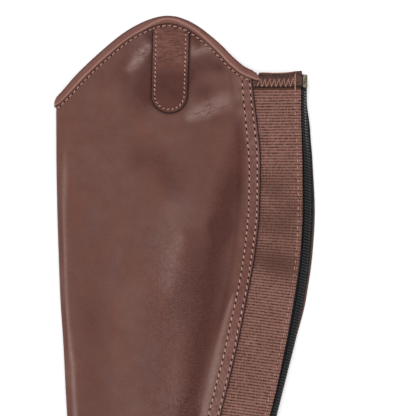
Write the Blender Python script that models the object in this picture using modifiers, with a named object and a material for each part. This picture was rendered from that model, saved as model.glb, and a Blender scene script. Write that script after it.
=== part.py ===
"""A leather gaiter for the lower leg, laid flat on a surface with its zip closed.

Sizes are in millimetres and become metres where a mesh is made.  The gaiter lies on its inner side:
x runs from the shin to the zip at the calf, h runs up the leg from the ankle hem, z is up from the surface.
Every piece is worked out from the named sizes and the short tables below.
"""
import math

import bmesh
import bpy
import numpy as np
from mathutils import Vector

MM = 0.001
PART_NAME = "leather_gaiter"

# ---- thicknesses and gaps -------------------------------------------------------------------------
LEATHER = 1.7           # the wrapped leather
TAB_LEATHER = 1.4       # the tab under the peak
ELASTIC = 1.3           # the elastic between its ribs
RIB_RISE = 0.35         # how far a rib stands out of the elastic
TAPE = 1.0              # the zip's tapes
TRIM = 1.0              # the edge binding's legs and the hem band
GAP = 0.3               # kept between pieces that touch

# ---- the leather as it lies ------------------------------------------------------------------------
LENGTH = 440.0          # ankle hem to the top of the bound peak
MIDDLE_X = -0.25        # the middle of the width, in the table's x
FOLD_RADIUS = 3.3       # outside of the fold on the shin
SEAM_OVERLAP = 12.0     # how far the leather covers the elastic
OVERLAP_RAMP = 6.0      # width over which the leather climbs onto the elastic
CLIMBED_AT = SEAM_OVERLAP + GAP     # from the cut edge to where it has climbed
PANEL_LEVEL = 2.9       # height of the upper leather's inner face over the lower panel
BOUND_LEVEL = 4.75      # the same where it crosses the inner side's bound edge
PEAK_LEVEL = 1.35       # the same at the peak, which has no lower panel under it
SHOULDER_START = 8.0    # x from which the peak's side no longer sinks, held up by the elastic
SHOULDER_WIDTH = 26.0
SHIN_ROUND_START = 4.0  # from the shin line to where the upper leather leaves the fold's height
SHIN_ROUND_WIDTH = 22.0

# ---- the elastic -----------------------------------------------------------------------------------
ELASTIC_TOP = 397.5     # height of its upper end
ELASTIC_LEVEL = 2.9     # height of its inner face beside the leather
ELASTIC_TOP_LEVEL = 4.6  # the same at the top, where it crosses the inner side's bound edge
ELASTIC_RISE_START = 366.0      # height above which it rises to that level
ELASTIC_RISE_HEIGHT = 18.0
ELASTIC_STEPS = (0.4, 10.0, 24.0)   # its columns, from the end of its bend at the zip
RIB_COUNT = 192
ROWS_PER_INSIDE_ROW = 12

# ---- the zip ---------------------------------------------------------------------------------------
TAPE_TOP = 398.0
TAPE_UNDER_ELASTIC = 7.0
TAPE_ON_LEATHER = 11.0
CHAIN_WIDTH = 5.6
CHAIN_HEIGHT = 1.4
CHAIN_STRAIGHT = 3.0    # straight run of the outer tape from the chain's middle
UPPER_BEND = 1.0        # radius in which the outer tape turns under the elastic
FALL_ANGLE = math.radians(18.0)
TAPE_LEVEL = LEATHER + GAP + TAPE / 2

# ---- the binding on the top edge ---------------------------------------------------------------------
BINDING_OUTER_LEG = 4.7
BINDING_INNER_LEG = 2.6
COLUMNS_PAST_BINDING = 4     # the leather's columns beyond its inner end, beside the zip
RAISE_START = 14.0           # below the inner side's top edge: its leather starts to rise over the strip
RAISE_RAMP = 7.5
RAISE_END_X = 63.5           # it sinks again from here towards the zip
RAISE_END_WIDTH = 10.5

# ---- the tab under the peak --------------------------------------------------------------------------
TAB_WIDTH = 26.8
TAB_BOTTOM = 369.9
TAB_TOP_CENTRE = 83.0        # round from the shin
TAB_BOTTOM_CENTRE = 81.6

# ---- the band across the top of the elastic ------------------------------------------------------------
BAND_BOTTOM = 388.5
BAND_TOP = 399.2

# The gaiter's sections, one for each height above the hem.  shin: x of the fold.  seam: x of the leather's
# cut edge on the elastic.  chain: x of the zip's middle.  tilt: how far the chain turns to face the calf.
# elastic_at: from the chain's middle to the elastic's edge.  tape_run: from the chain's middle to the bend
# of the inner tape.  bend: that bend's radius.  curl: how far the lower leather follows it, in degrees.
SECTION_COLUMNS = ("shin", "seam", "chain", "tilt", "elastic_at", "tape_run", "bend", "curl")
SECTIONS = {
    0.0: (-76.5, 7.9, 44.2, 20.0, 3.5, 3.2, 1.4, 20.0),
    29.3: (-77.8, 8.1, 44.2, 20.0, 3.5, 3.2, 1.4, 20.0),
    50.8: (-78.7, 8.9, 46.3, 24.0, 3.5, 3.2, 1.0, 20.0),
    93.7: (-80.8, 12.9, 50.1, 30.0, 3.5, 3.2, 0.7, 20.0),
    129.4: (-82.9, 19.3, 56.5, 36.0, 3.5, 3.1, 0.6, 20.0),
    165.2: (-85.1, 28.5, 65.5, 40.0, 3.5, 3.1, 0.6, 20.0),
    208.1: (-87.3, 38.6, 75.7, 35.0, 3.7, 3.1, 0.6, 30.0),
    236.7: (-89.2, 44.3, 81.3, 25.0, 3.65, 3.3, 0.6, 56.0),
    272.4: (-90.6, 50.8, 85.7, 24.0, 3.45, 4.0, 0.6, 52.0),
    302.4: (-91.5, 53.7, 87.0, 25.0, 3.45, 4.7, 0.6, 40.0),
    336.8: (-92.1, 54.2, 86.3, 30.0, 3.4, 4.4, 0.6, 30.0),
    358.2: (-92.2, 52.5, 84.9, 32.0, 3.2, 4.6, 0.6, 20.0),
    379.7: (-92.2, 49.7, 84.0, 42.0, 3.25, 3.4, 0.6, 20.0),
    400.0: (-92.2, 47.5, 84.2, 42.0, 3.25, 3.1, 0.6, 20.0),
}

# The leather's top edge: its height for each distance round from the shin, negative on the inner side.
TOP_EDGE = {
    -176.8: 396.5, -3.9: 376.4, -0.8: 377.3, 1.2: 379.4, 3.85: 382.6, 8.65: 388.2, 17.15: 398.1,
    34.25: 414.4, 51.25: 427.9, 59.75: 432.8, 68.15: 436.4, 76.5: 438.5, 80.5: 438.8, 84.7: 438.5,
    93.0: 436.0, 101.4: 431.5, 109.9: 425.1, 118.4: 417.4, 126.9: 408.7, 135.7: 401.7, 144.6: 397.9,
}

# How far the binding's end runs on past the leather's cut edge, by height.
BINDING_END = {392.8: 4.1, 395.0: 5.3, 396.9: 4.3, 399.3: 3.1}

# Height of the upper leather's inner face, by height above the inner side's top edge.
LEVEL_OVER_EDGE = {
    -30.0: PANEL_LEVEL, -10.0: BOUND_LEVEL, 2.0: BOUND_LEVEL, 28.0: PEAK_LEVEL, 70.0: PEAK_LEVEL,
}

# How much the elastic's ribs fall from the leather towards the zip, by height.
RIB_SLOPE = {0.0: 0.0, 40.0: 0.10, 230.0: 0.12, 300.0: 0.03, 350.0: 0.0, 400.0: 0.0}

# The large soft forms of the upper leather: a line from one end to the other, its half width and its rise.
FORM_COLUMNS = ("x_from", "h_from", "x_to", "h_to", "half_width", "rise")
SOFT_FORMS = (
    (32.0, 330.0, 20.0, 240.0, 17.0, -0.8),     # trough beside the seam, upper half
    (20.0, 240.0, 2.0, 150.0, 16.0, -0.8),      # the same, lower half
    (-12.0, 290.0, -16.0, 255.0, 24.0, 1.5),    # swell over the calf
    (-38.0, 232.0, -36.0, 190.0, 26.0, 1.2),    # its lower lobe
    (-10.0, 176.0, -22.0, 70.0, 24.0, 1.1),     # swell running down to the ankle
)

COLOURS = {
    "leather": ((0.157, 0.078, 0.062), 0.42, 0.0),
    "binding_leather": ((0.23, 0.12, 0.10), 0.40, 0.0),
    "elastic": ((0.27, 0.13, 0.10), 0.75, 0.0),
    "hem_elastic": ((0.09, 0.045, 0.038), 0.8, 0.0),
    "zip_tape": ((0.018, 0.018, 0.020), 0.8, 0.0),
    "zip_coil": ((0.022, 0.022, 0.024), 0.4, 0.0),
    "aged_brass": ((0.30, 0.27, 0.18), 0.38, 1.0),
}


# ---- curves through the tables ---------------------------------------------------------------------

def ease(t):
    """Goes from 0 to 1 with level ends."""
    t = np.clip(t, 0.0, 1.0)
    return t * t * (3.0 - 2.0 * t)


def curve_through(table):
    """Returns a smooth curve through a table {place: value} that never overshoots its values."""
    places = np.array(sorted(table), float)
    values = np.array([table[place] for place in sorted(table)], float)
    steps = np.diff(places)
    slopes = np.diff(values) / steps
    tangents = np.concatenate(([slopes[0]], np.zeros(len(slopes) - 1), [slopes[-1]]))
    for i in range(1, len(slopes)):
        if slopes[i - 1] * slopes[i] > 0.0:
            before = 2.0 * steps[i] + steps[i - 1]
            after = steps[i] + 2.0 * steps[i - 1]
            tangents[i] = (before + after) / (before / slopes[i - 1] + after / slopes[i])

    def at(place):
        place = np.clip(place, places[0], places[-1])
        i = np.clip(np.searchsorted(places, place) - 1, 0, len(steps) - 1)
        t = (place - places[i]) / steps[i]
        rest = 1.0 - t
        return (values[i] * rest * rest * (1.0 + 2.0 * t) + values[i + 1] * t * t * (3.0 - 2.0 * t)
                + steps[i] * t * rest * (tangents[i] * rest - tangents[i + 1] * t))

    return at


def section_curve(column):
    index = SECTION_COLUMNS.index(column)
    return curve_through({height: row[index] for height, row in SECTIONS.items()})


shin_x = section_curve("shin")
seam_x = section_curve("seam")
chain_x = section_curve("chain")
tilt_degrees = section_curve("tilt")
elastic_at = section_curve("elastic_at")
tape_run = section_curve("tape_run")
bend_radius = section_curve("bend")
curl_degrees = section_curve("curl")
top_edge = curve_through(TOP_EDGE)
level_over_edge = curve_through(LEVEL_OVER_EDGE)
rib_slope = curve_through(RIB_SLOPE)
binding_end = curve_through(BINDING_END)

FOLD_MIDDLE = FOLD_RADIUS - LEATHER / 2         # radius of the leather's middle in the shin fold
FOLD_ARC = FOLD_MIDDLE * math.pi / 2            # half of its way round that fold
STRAIGHT_SHIN_HEIGHT = 400.0                    # the shin is straight beside the top edge


# ---- the zip's cross-section -----------------------------------------------------------------------

def upper_turn(h):
    """How long the outer tape's bend is at height h."""
    return UPPER_BEND * (np.radians(tilt_degrees(h)) + FALL_ANGLE)


def zip_point(h, s, n):
    """The zip's guide curve at height h: s along it from the chain's middle, towards the elastic where
    positive and towards the inner side where negative, and n out from it.  Returns x and z."""
    h, s, n = np.broadcast_arrays(*(np.asarray(value, float) for value in (h, s, n)))
    tilt = np.radians(tilt_degrees(h))
    bend = bend_radius(h)
    run = tape_run(h)
    across, up = np.cos(tilt), np.sin(tilt)
    chain_z = TAPE_LEVEL + bend * (1.0 + across) + run * up

    straight = np.clip(s, -run, CHAIN_STRAIGHT)
    x = chain_x(h) - straight * across + n * up
    z = chain_z + straight * up + n * across

    # under the elastic: a bend over the top, then a fall that levels out
    turn = np.clip((s - CHAIN_STRAIGHT) / UPPER_BEND, 0.0, tilt + FALL_ANGLE)
    bend_x = chain_x(h) - CHAIN_STRAIGHT * across - UPPER_BEND * up
    bend_z = chain_z + CHAIN_STRAIGHT * up - UPPER_BEND * across
    upper = s > CHAIN_STRAIGHT
    x = np.where(upper, bend_x + (UPPER_BEND + n) * np.sin(tilt - turn), x)
    z = np.where(upper, bend_z + (UPPER_BEND + n) * np.cos(tilt - turn), z)
    along = np.clip(s - CHAIN_STRAIGHT - upper_turn(h), 0.0, None)
    drop = bend_z + UPPER_BEND * math.cos(FALL_ANGLE) - elastic_base(h)
    width = 2.0 * drop / math.tan(FALL_ANGLE)
    left = np.clip(1.0 - along / width, 0.0, None)
    slope = math.tan(FALL_ANGLE) * left
    length = np.sqrt(1.0 + slope * slope)
    fall_x = bend_x - UPPER_BEND * math.sin(FALL_ANGLE) - along
    falling = along > 0.0
    x = np.where(falling, fall_x - n * slope / length, x)
    z = np.where(falling, elastic_base(h) + drop * left * left + n / length, z)

    # the inner tape: a bend back under the chain, then flat on the lower leather
    back = np.clip((-s - run) / bend, 0.0, math.pi - tilt)
    turn_x, turn_z = inner_bend(h)
    lower = s < -run
    x = np.where(lower, turn_x + (bend + n) * np.sin(tilt + back), x)
    z = np.where(lower, turn_z + (bend + n) * np.cos(tilt + back), z)
    flat = np.clip(-s - run - bend * (math.pi - tilt), 0.0, None)
    x = np.where(flat > 0.0, turn_x - flat, x)
    z = np.where(flat > 0.0, TAPE_LEVEL - n, z)
    return x, z


def elastic_base(h):
    """Height of the guide curve where it has levelled out under the elastic."""
    risen = ease((h - ELASTIC_RISE_START) / ELASTIC_RISE_HEIGHT)
    inside = ELASTIC_LEVEL + (ELASTIC_TOP_LEVEL - ELASTIC_LEVEL) * risen
    return inside - GAP - TAPE / 2


def inner_bend(h):
    """Centre of the inner tape's bend."""
    tilt = np.radians(tilt_degrees(h))
    run = tape_run(h)
    x = chain_x(h) + run * np.cos(tilt) - bend_radius(h) * np.sin(tilt)
    return x, TAPE_LEVEL + bend_radius(h)


def fall_start_x(h):
    """x where the outer tape starts to fall away from the zip."""
    tilt = np.radians(tilt_degrees(h))
    return (chain_x(h) - CHAIN_STRAIGHT * np.cos(tilt) - UPPER_BEND * np.sin(tilt)
            - UPPER_BEND * math.sin(FALL_ANGLE))


def along_at(h, x):
    """The guide's s at a place x under the elastic, left of the bend."""
    return CHAIN_STRAIGHT + upper_turn(h) + fall_start_x(h) - x


def elastic_inner_level(x, h):
    """Height of the elastic's inner face at x, left of its bend."""
    return zip_point(h, along_at(h, x), TAPE / 2 + GAP)[1]


# ---- the leather as a surface ------------------------------------------------------------------------

def around(x, h):
    """Distance round the leather from the shin line to a flat place x."""
    return FOLD_ARC + x - shin_x(h) - FOLD_RADIUS


def over_inner_edge(x, h):
    """Height above the inner side's top edge."""
    return h - top_edge(-around(x, STRAIGHT_SHIN_HEIGHT))


def binding_raise(x, h):
    """How far the lower leather is lifted by the binding under its top edge."""
    near_edge = ease((over_inner_edge(x, h) + RAISE_START) / RAISE_RAMP)
    before_zip = 1.0 - ease((x - RAISE_END_X) / RAISE_END_WIDTH)
    return (TRIM + GAP) * near_edge * before_zip


def soft_forms(x, h):
    """The large swells and troughs of the upper leather."""
    total = np.zeros(np.broadcast(x, h).shape)
    for x_from, h_from, x_to, h_to, half_width, rise in SOFT_FORMS:
        run_x, run_h = x_to - x_from, h_to - h_from
        t = np.clip(((x - x_from) * run_x + (h - h_from) * run_h) / (run_x ** 2 + run_h ** 2), 0.0, 1.0)
        away = np.hypot(x - x_from - t * run_x, h - h_from - t * run_h)
        total = total + rise * ease(1.0 - away / half_width)
    return total


def onto_elastic(x, h):
    """0 on the plain leather, 1 where it has climbed onto the elastic."""
    from_cut_edge = seam_x(h) - x
    return ease((CLIMBED_AT + OVERLAP_RAMP - from_cut_edge) / OVERLAP_RAMP)


def upper_level(x, h):
    """Height of the upper leather's inner face."""
    over_edge = over_inner_edge(x, h)
    beside_elastic = ease((x - SHOULDER_START) / SHOULDER_WIDTH)
    over_edge = np.where(over_edge > 0.0, over_edge * (1.0 - beside_elastic), over_edge)
    field = level_over_edge(over_edge) + soft_forms(x, h)
    at_shin = 2.0 * FOLD_RADIUS - LEATHER + binding_raise(x, h)
    level = at_shin + (field - at_shin) * ease((x - shin_x(h) - SHIN_ROUND_START) / SHIN_ROUND_WIDTH)
    on_elastic = elastic_inner_level(x, h) + ELASTIC + RIB_RISE + GAP
    climbed = onto_elastic(x, h)
    return level * (1.0 - climbed) + on_elastic * climbed


def leather_point(w, h, n):
    """A point of the leather: w round from the shin line, h up the leg, n out from its middle."""
    w, h, n = np.broadcast_arrays(*(np.asarray(value, float) for value in (w, h, n)))
    flat_x = shin_x(h) + FOLD_RADIUS + np.abs(w) - FOLD_ARC
    raised = binding_raise(flat_x, h)
    angle = np.clip(w / FOLD_MIDDLE, -math.pi / 2, math.pi / 2)
    x = shin_x(h) + FOLD_RADIUS - (FOLD_MIDDLE + n) * np.cos(angle)
    z = raised + FOLD_RADIUS + (FOLD_MIDDLE + n) * np.sin(angle)

    outer = w > FOLD_ARC
    x = np.where(outer, flat_x, x)
    z = np.where(outer, upper_level(flat_x, h) + LEATHER / 2 + n, z)

    inner = w < -FOLD_ARC
    turn_x, turn_z = inner_bend(h)
    radius = bend_radius(h) + TAPE / 2 + GAP + LEATHER / 2
    curl = np.clip((flat_x - turn_x) / radius, 0.0, None)
    x = np.where(inner, np.where(curl > 0.0, turn_x + (radius + n) * np.sin(curl), flat_x), x)
    curled_z = turn_z - (radius + n) * np.cos(curl)
    z = np.where(inner, np.where(curl > 0.0, curled_z, raised + LEATHER / 2 - n), z)
    return np.stack((x, h, z), axis=-1)


# ---- making meshes -----------------------------------------------------------------------------------

def to_world(points):
    """Points given as x, height above the hem and z, as places in metres."""
    moved = np.asarray(points, float) - np.array((MIDDLE_X, LENGTH / 2, 0.0))
    return [Vector(point) * MM for point in moved.reshape(-1, 3)]


def material(slot):
    colour, roughness, metallic = COLOURS[slot]
    made = bpy.data.materials.get(slot) or bpy.data.materials.new(slot)
    made.use_nodes = True
    shader = made.node_tree.nodes["Principled BSDF"]
    shader.inputs["Base Color"].default_value = (*colour, 1.0)
    shader.inputs["Roughness"].default_value = roughness
    shader.inputs["Metallic"].default_value = metallic
    return made


def new_object(name, mesh, slot, collection):
    mesh.materials.append(material(slot))
    thing = bpy.data.objects.new(name, mesh)
    collection.objects.link(thing)
    return thing


def mesh_of(name, bm):
    bmesh.ops.recalc_face_normals(bm, faces=bm.faces)
    mesh = bpy.data.meshes.new(name)
    bm.to_mesh(mesh)
    bm.free()
    mesh.shade_smooth()
    mesh.set_sharp_from_angle(angle=math.radians(40))
    return mesh


def wall(name, outside, inside, slot, collection, stride=1):
    """A closed wall between two grids of points [row][column].  The inside has a row for every stride
    rows of the outside."""
    rows, columns = outside.shape[:2]
    inside_rows = inside.shape[0]
    bm = bmesh.new()
    outer = [bm.verts.new(point) for point in to_world(outside)]
    inner = [bm.verts.new(point) for point in to_world(inside)]
    outer = [outer[i * columns:(i + 1) * columns] for i in range(rows)]
    inner = [inner[i * columns:(i + 1) * columns] for i in range(inside_rows)]
    for grid in (outer, inner):
        for low, high in zip(grid, grid[1:]):
            for j in range(columns - 1):
                bm.faces.new((low[j], low[j + 1], high[j + 1], high[j]))
    for end in (0, -1):
        for j in range(columns - 1):
            bm.faces.new((outer[end][j], outer[end][j + 1], inner[end][j + 1], inner[end][j]))
    for side in (0, -1):
        for i in range(inside_rows - 1):
            rim = [outer[k][side] for k in range(i * stride, (i + 1) * stride + 1)]
            bm.faces.new(rim + [inner[i + 1][side], inner[i][side]])
    return new_object(name, mesh_of(name, bm), slot, collection)


def loft(name, rings, slot, collection):
    """A closed solid through rings of points, with flat ends."""
    count = rings.shape[1]
    bm = bmesh.new()
    points = [bm.verts.new(point) for point in to_world(rings)]
    loops = [points[i * count:(i + 1) * count] for i in range(len(rings))]
    for low, high in zip(loops, loops[1:]):
        for j in range(count):
            k = (j + 1) % count
            bm.faces.new((low[j], low[k], high[k], high[j]))
    bm.faces.new(loops[0])
    bm.faces.new(loops[-1])
    return new_object(name, mesh_of(name, bm), slot, collection)


# ---- the leather panel ---------------------------------------------------------------------------------

FIELD_STEPS = (0.0, 0.011, 0.026, 0.047, 0.077, 0.12, 0.18, 0.25, 0.32, 0.39, 0.46, 0.53, 0.58, 0.62,
               0.66, 0.70, 0.75, 0.81, 0.87, 0.935, 1.0)
RAMP_STEPS = (0.3, 0.65)
FOLD_SPANS = 8
INNER_STEPS = (0.0, 0.05, 0.16, 0.42, 0.66, 0.868, 0.93, 1.0)
CURL_STEPS = (0.5, 1.0)
LOWER_ROWS = np.linspace(0.0, 330.0, 21)
UPPER_ROW_COUNT = 13


def leather_columns(h):
    """Distances round from the shin, from the cut edge on the elastic to the edge at the zip."""
    cut_edge = around(seam_x(h), h)
    field_end = cut_edge - CLIMBED_AT - OVERLAP_RAMP
    on_elastic = [cut_edge - d for d in (0.0, SEAM_OVERLAP / 2, CLIMBED_AT)]
    on_elastic += [cut_edge - CLIMBED_AT - OVERLAP_RAMP * f for f in RAMP_STEPS]
    field = [FOLD_ARC + (field_end - FOLD_ARC) * f for f in reversed(FIELD_STEPS)]
    fold = [FOLD_ARC * (1.0 - 2.0 * i / FOLD_SPANS) for i in range(1, FOLD_SPANS)]
    turn = around(inner_bend(h)[0], h)
    inner = [-FOLD_ARC - (turn - FOLD_ARC) * f for f in INNER_STEPS]
    radius = bend_radius(h) + TAPE / 2 + GAP + LEATHER / 2
    curl = [-turn - radius * math.radians(curl_degrees(h)) * f for f in CURL_STEPS]
    return on_elastic + field + fold + inner + curl


def edge_stretch(w):
    """How much longer a step up the leg is than the same step square to the top edge."""
    step = 0.25
    rise = (top_edge(w + step) - top_edge(w - step)) / (2.0 * step)
    return np.sqrt(1.0 + rise * rise)


def columns_at(columns, h):
    """One distance round from the shin for each column, each at its own height."""
    return np.array([columns(height)[j] for j, height in enumerate(h)])


def meet_edge(columns):
    """Where columns meet the top edge, as arrays of w and h."""
    h = np.full(len(columns(STRAIGHT_SHIN_HEIGHT)), STRAIGHT_SHIN_HEIGHT)
    for _ in range(8):
        h = top_edge(columns_at(columns, h))
    return columns_at(columns, h), h


def leather_rows():
    """The grid of the leather, as arrays of w and h.  Its last rows lie under the binding's legs."""
    edge_w, edge_h = meet_edge(leather_columns)
    rim = [edge_h - into * edge_stretch(edge_w) for into in (BINDING_OUTER_LEG, BINDING_INNER_LEG, 0.0)]
    start = LOWER_ROWS[-1]
    rows = [np.full(len(edge_w), h) for h in LOWER_ROWS]
    rows += [start + (rim[0] - start) * k / UPPER_ROW_COUNT for k in range(1, UPPER_ROW_COUNT)]
    h = np.array(rows + rim)
    w = np.array([columns_at(leather_columns, row) for row in h])
    return w, h


def make_leather_panel(collection):
    w, h = leather_rows()
    outside = leather_point(w, h, LEATHER / 2)
    inside = leather_point(w, h, -LEATHER / 2)
    return wall("leather_panel", outside, inside, "leather", collection)


# ---- the elastic and its hem band ------------------------------------------------------------------------

def elastic_columns(h):
    """Places along the guide from the zip's side of the elastic to its hidden edge under the leather."""
    bend_end = CHAIN_STRAIGHT + upper_turn(h)
    hidden = along_at(h, seam_x(h) - SEAM_OVERLAP)
    start = np.maximum(elastic_at(h), CHAIN_STRAIGHT)
    return np.stack((start, *(bend_end + step for step in ELASTIC_STEPS), hidden), axis=-1)


def zip_grid(h, s, n):
    """Points of the zip's guide for grids of h and s."""
    x, z = zip_point(h, s, n)
    return np.stack(np.broadcast_arrays(x, h, z), axis=-1)


def elastic_grid(heights, n):
    """Rows of the elastic at heights measured at the zip, each falling a little towards the zip."""
    flat = elastic_columns(heights)
    h = heights[:, None] + rib_slope(heights)[:, None] * (flat - flat[:, :1])
    s = np.stack([elastic_columns(h[:, j])[:, j] for j in range(flat.shape[1])], axis=-1)
    return zip_grid(h, s, n)


def make_elastic_panel(collection):
    heights = np.linspace(0.0, ELASTIC_TOP, 2 * RIB_COUNT + 1)
    face = TAPE / 2 + GAP + ELASTIC
    crest = np.where(np.arange(len(heights)) % 2 == 1, RIB_RISE, 0.0)[:, None]
    outside = elastic_grid(heights, face + crest)
    inside = elastic_grid(heights[::ROWS_PER_INSIDE_ROW], TAPE / 2 + GAP)
    return wall("elastic_panel", outside, inside, "elastic", collection, stride=ROWS_PER_INSIDE_ROW)


BAND_STEPS = (0.0, 0.04, 0.32, 0.76, 1.0)
BAND_HOLLOW = 0.5       # how far its top edge dips between its ends
BAND_TIP = 1.0          # how far its corner at the zip stands up
BAND_LEFT = {388.0: 49.9, 393.4: 50.8, 399.3: 52.9, 401.0: 53.0}    # its slanting end beside the binding


def make_hem_band(collection):
    """The band lies across the top of the elastic, just over its ribs."""
    across = np.array(BAND_STEPS)
    top = BAND_TOP - BAND_HOLLOW * 4.0 * across * (1.0 - across) + BAND_TIP * (1.0 - across) ** 6
    left_x = curve_through(BAND_LEFT)
    rows = []
    for f in (0.0, 0.35, 0.7, 1.0):
        h = BAND_BOTTOM + (top - BAND_BOTTOM) * f
        s = np.diagonal(elastic_columns(h)).copy()
        s[-1] = along_at(h[-1], left_x(h[-1]))
        rows.append((h, s))
    h = np.array([row[0] for row in rows])
    s = np.array([row[1] for row in rows])
    low = TAPE / 2 + GAP + ELASTIC + RIB_RISE + GAP
    outside = zip_grid(h, s, low + TRIM)
    inside = zip_grid(h, s, low)
    return wall("elastic_hem_band", outside, inside, "hem_elastic", collection)


# ---- the binding and the tab -----------------------------------------------------------------------------

def binding_section():
    """The folded strip's section: distance from the leather's edge into the leather, and which way out
    from the leather's middle, for each corner.  The last column is 1 on the leg that goes under."""
    face = LEATHER / 2 + GAP
    back = face + TRIM
    outer_leg, inner_leg = BINDING_OUTER_LEG, BINDING_INNER_LEG
    return np.array((
        (outer_leg, face, 0), (outer_leg, face + 0.6 * TRIM, 0), (outer_leg - 0.7, back, 0), (1.6, back, 0),
        (-0.5, back - 0.25, 0), (-GAP - TRIM, 0.4 * face, 0), (-GAP - TRIM, -0.4 * face, 1),
        (-0.5, 0.25 - back, 1), (inner_leg, -back, 1), (inner_leg, -face, 1), (-GAP, -face, 1),
        (-GAP, face, 0)))


def binding_columns(h):
    """The leather's columns that carry the strip, with its end past the leather's cut edge first."""
    columns = leather_columns(h)
    end = columns[0] + binding_end(h)
    return [end] + columns[:-COLUMNS_PAST_BINDING]


def binding_rings():
    """The strip's section at each column, moved out from the leather's own points."""
    corners = binding_section()
    edge_w, edge_h = meet_edge(binding_columns)
    h = edge_h[:, None] - corners[None, :, 0] * edge_stretch(edge_w)[:, None]
    w = np.array([columns_at(binding_columns, h[:, k]) for k in range(len(corners))]).T
    flat_x = shin_x(h) + FOLD_RADIUS + w - FOLD_ARC
    under_elastic = np.where(w > FOLD_ARC, onto_elastic(flat_x, h), 0.0) * (ELASTIC + RIB_RISE + GAP)
    return leather_point(w, h, corners[None, :, 1] - corners[None, :, 2] * under_elastic)


def make_top_binding(collection):
    return loft("top_binding", binding_rings(), "binding_leather", collection)


def make_tab(collection):
    """The tab lies on the upper leather, with a round lower end and its top beside the binding."""
    half = TAB_WIDTH / 2
    round_centre = TAB_BOTTOM + half
    across = np.linspace(-1.0, 1.0, 7)
    rows = []
    for angle in np.radians((80.0, 66.0, 50.0, 33.0, 16.0)):
        width = half * math.cos(angle)
        rows.append((TAB_BOTTOM_CENTRE + width * across,
                     np.full(len(across), round_centre - half * math.sin(angle))))
    for f in np.linspace(0.0, 1.0, 8):
        w = TAB_BOTTOM_CENTRE + (TAB_TOP_CENTRE - TAB_BOTTOM_CENTRE) * f + half * across
        top = top_edge(w) - (BINDING_OUTER_LEG + 1.5 * GAP) * edge_stretch(w)
        rows.append((w, round_centre + (top - round_centre) * f))
    w = np.array([row[0] for row in rows])
    h = np.array([row[1] for row in rows])
    low = LEATHER / 2 + GAP
    outside = leather_point(w, h, low + TAB_LEATHER)
    inside = leather_point(w, h, low)
    return wall("reinforcement_tab", outside, inside, "leather", collection)


# ---- the zip -------------------------------------------------------------------------------------------

SLIDER_HEIGHT = 14.0            # middle of the slider, above the hem
SLIDER_LENGTH = 11.0
SLIDER_WIDTH = 7.4
PARTED = 2.0                    # how far each tape is from the middle below the slider
TAPE_EDGE = {0.0: PARTED, 12.0: PARTED, 17.0: 0.15, 400.0: 0.15}
CHAIN_BOTTOM = 13.2             # the closed chain starts inside the slider
BOX_LENGTH = 9.3
BOX_WIDTH = 4.6
BOX_HEIGHT = 2.1
BOX_MIDDLE = 393.1
tape_edge = curve_through(TAPE_EDGE)


def make_outer_tape(collection):
    h = np.linspace(0.0, TAPE_TOP, 33)
    turn = upper_turn(h)
    s = np.stack((tape_edge(h), np.full(len(h), CHAIN_STRAIGHT), CHAIN_STRAIGHT + 0.5 * turn,
                  CHAIN_STRAIGHT + turn, CHAIN_STRAIGHT + turn + TAPE_UNDER_ELASTIC), axis=-1)
    return wall("zip_tape_outer", zip_grid(h[:, None], s, TAPE / 2), zip_grid(h[:, None], s, -TAPE / 2),
                "zip_tape", collection)


def make_inner_tape(collection):
    h = np.linspace(0.0, TAPE_TOP - 3.0, 33)
    turn = bend_radius(h) * (math.pi - np.radians(tilt_degrees(h)))
    run = tape_run(h)
    s = -np.stack((tape_edge(h), run, run + 0.33 * turn, run + 0.67 * turn, run + turn,
                   run + turn + TAPE_ON_LEATHER), axis=-1)
    return wall("zip_tape_inner", zip_grid(h[:, None], s, TAPE / 2), zip_grid(h[:, None], s, -TAPE / 2),
                "zip_tape", collection)


def make_chain(collection):
    """The closed coils, as one bar with its upper corners cut off."""
    h = np.linspace(CHAIN_BOTTOM, BOX_MIDDLE - BOX_LENGTH / 2 - GAP, 33)
    low = TAPE / 2 + GAP
    half = CHAIN_WIDTH / 2
    corners = np.array(((half, low), (half, low + 0.6 * CHAIN_HEIGHT), (0.55 * half, low + CHAIN_HEIGHT),
                        (-0.55 * half, low + CHAIN_HEIGHT), (-half, low + 0.6 * CHAIN_HEIGHT), (-half, low)))
    rings = zip_grid(h[:, None], corners[None, :, 0], corners[None, :, 1])
    return loft("zip_chain", rings, "zip_coil", collection)


def zip_frame(name, height, out, collection):
    """An empty on the zip at a height: its X runs across to the inner side, Y up the leg, Z out."""
    x, z = zip_point(height, 0.0, out)
    frame = bpy.data.objects.new(name, None)
    frame.location = to_world((float(x), height, float(z)))[0]
    frame.rotation_euler = (0.0, math.radians(float(tilt_degrees(height))), 0.0)
    frame.empty_display_size = 5.0 * MM
    collection.objects.link(frame)
    return frame


def block(name, size, middle, slot, collection, frame):
    """A box of the given size whose middle lies at a place in a frame."""
    bm = bmesh.new()
    bmesh.ops.create_cube(bm, size=1.0)
    bmesh.ops.scale(bm, vec=Vector(size) * MM, verts=bm.verts)
    bmesh.ops.translate(bm, vec=Vector(middle) * MM, verts=bm.verts)
    made = new_object(name, mesh_of(name, bm), slot, collection)
    made.parent = frame
    return made


def round_edges(thing, width, segments=2):
    bevel = thing.modifiers.new("rounded edges", "BEVEL")
    bevel.width = width * MM
    bevel.segments = segments
    bevel.limit_method = "ANGLE"


def boolean(thing, other, operation):
    cut = thing.modifiers.new(operation.lower() + " " + other.name, "BOOLEAN")
    cut.operation = operation
    cut.object = other
    other.hide_render = True
    other.display_type = "WIRE"


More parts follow.
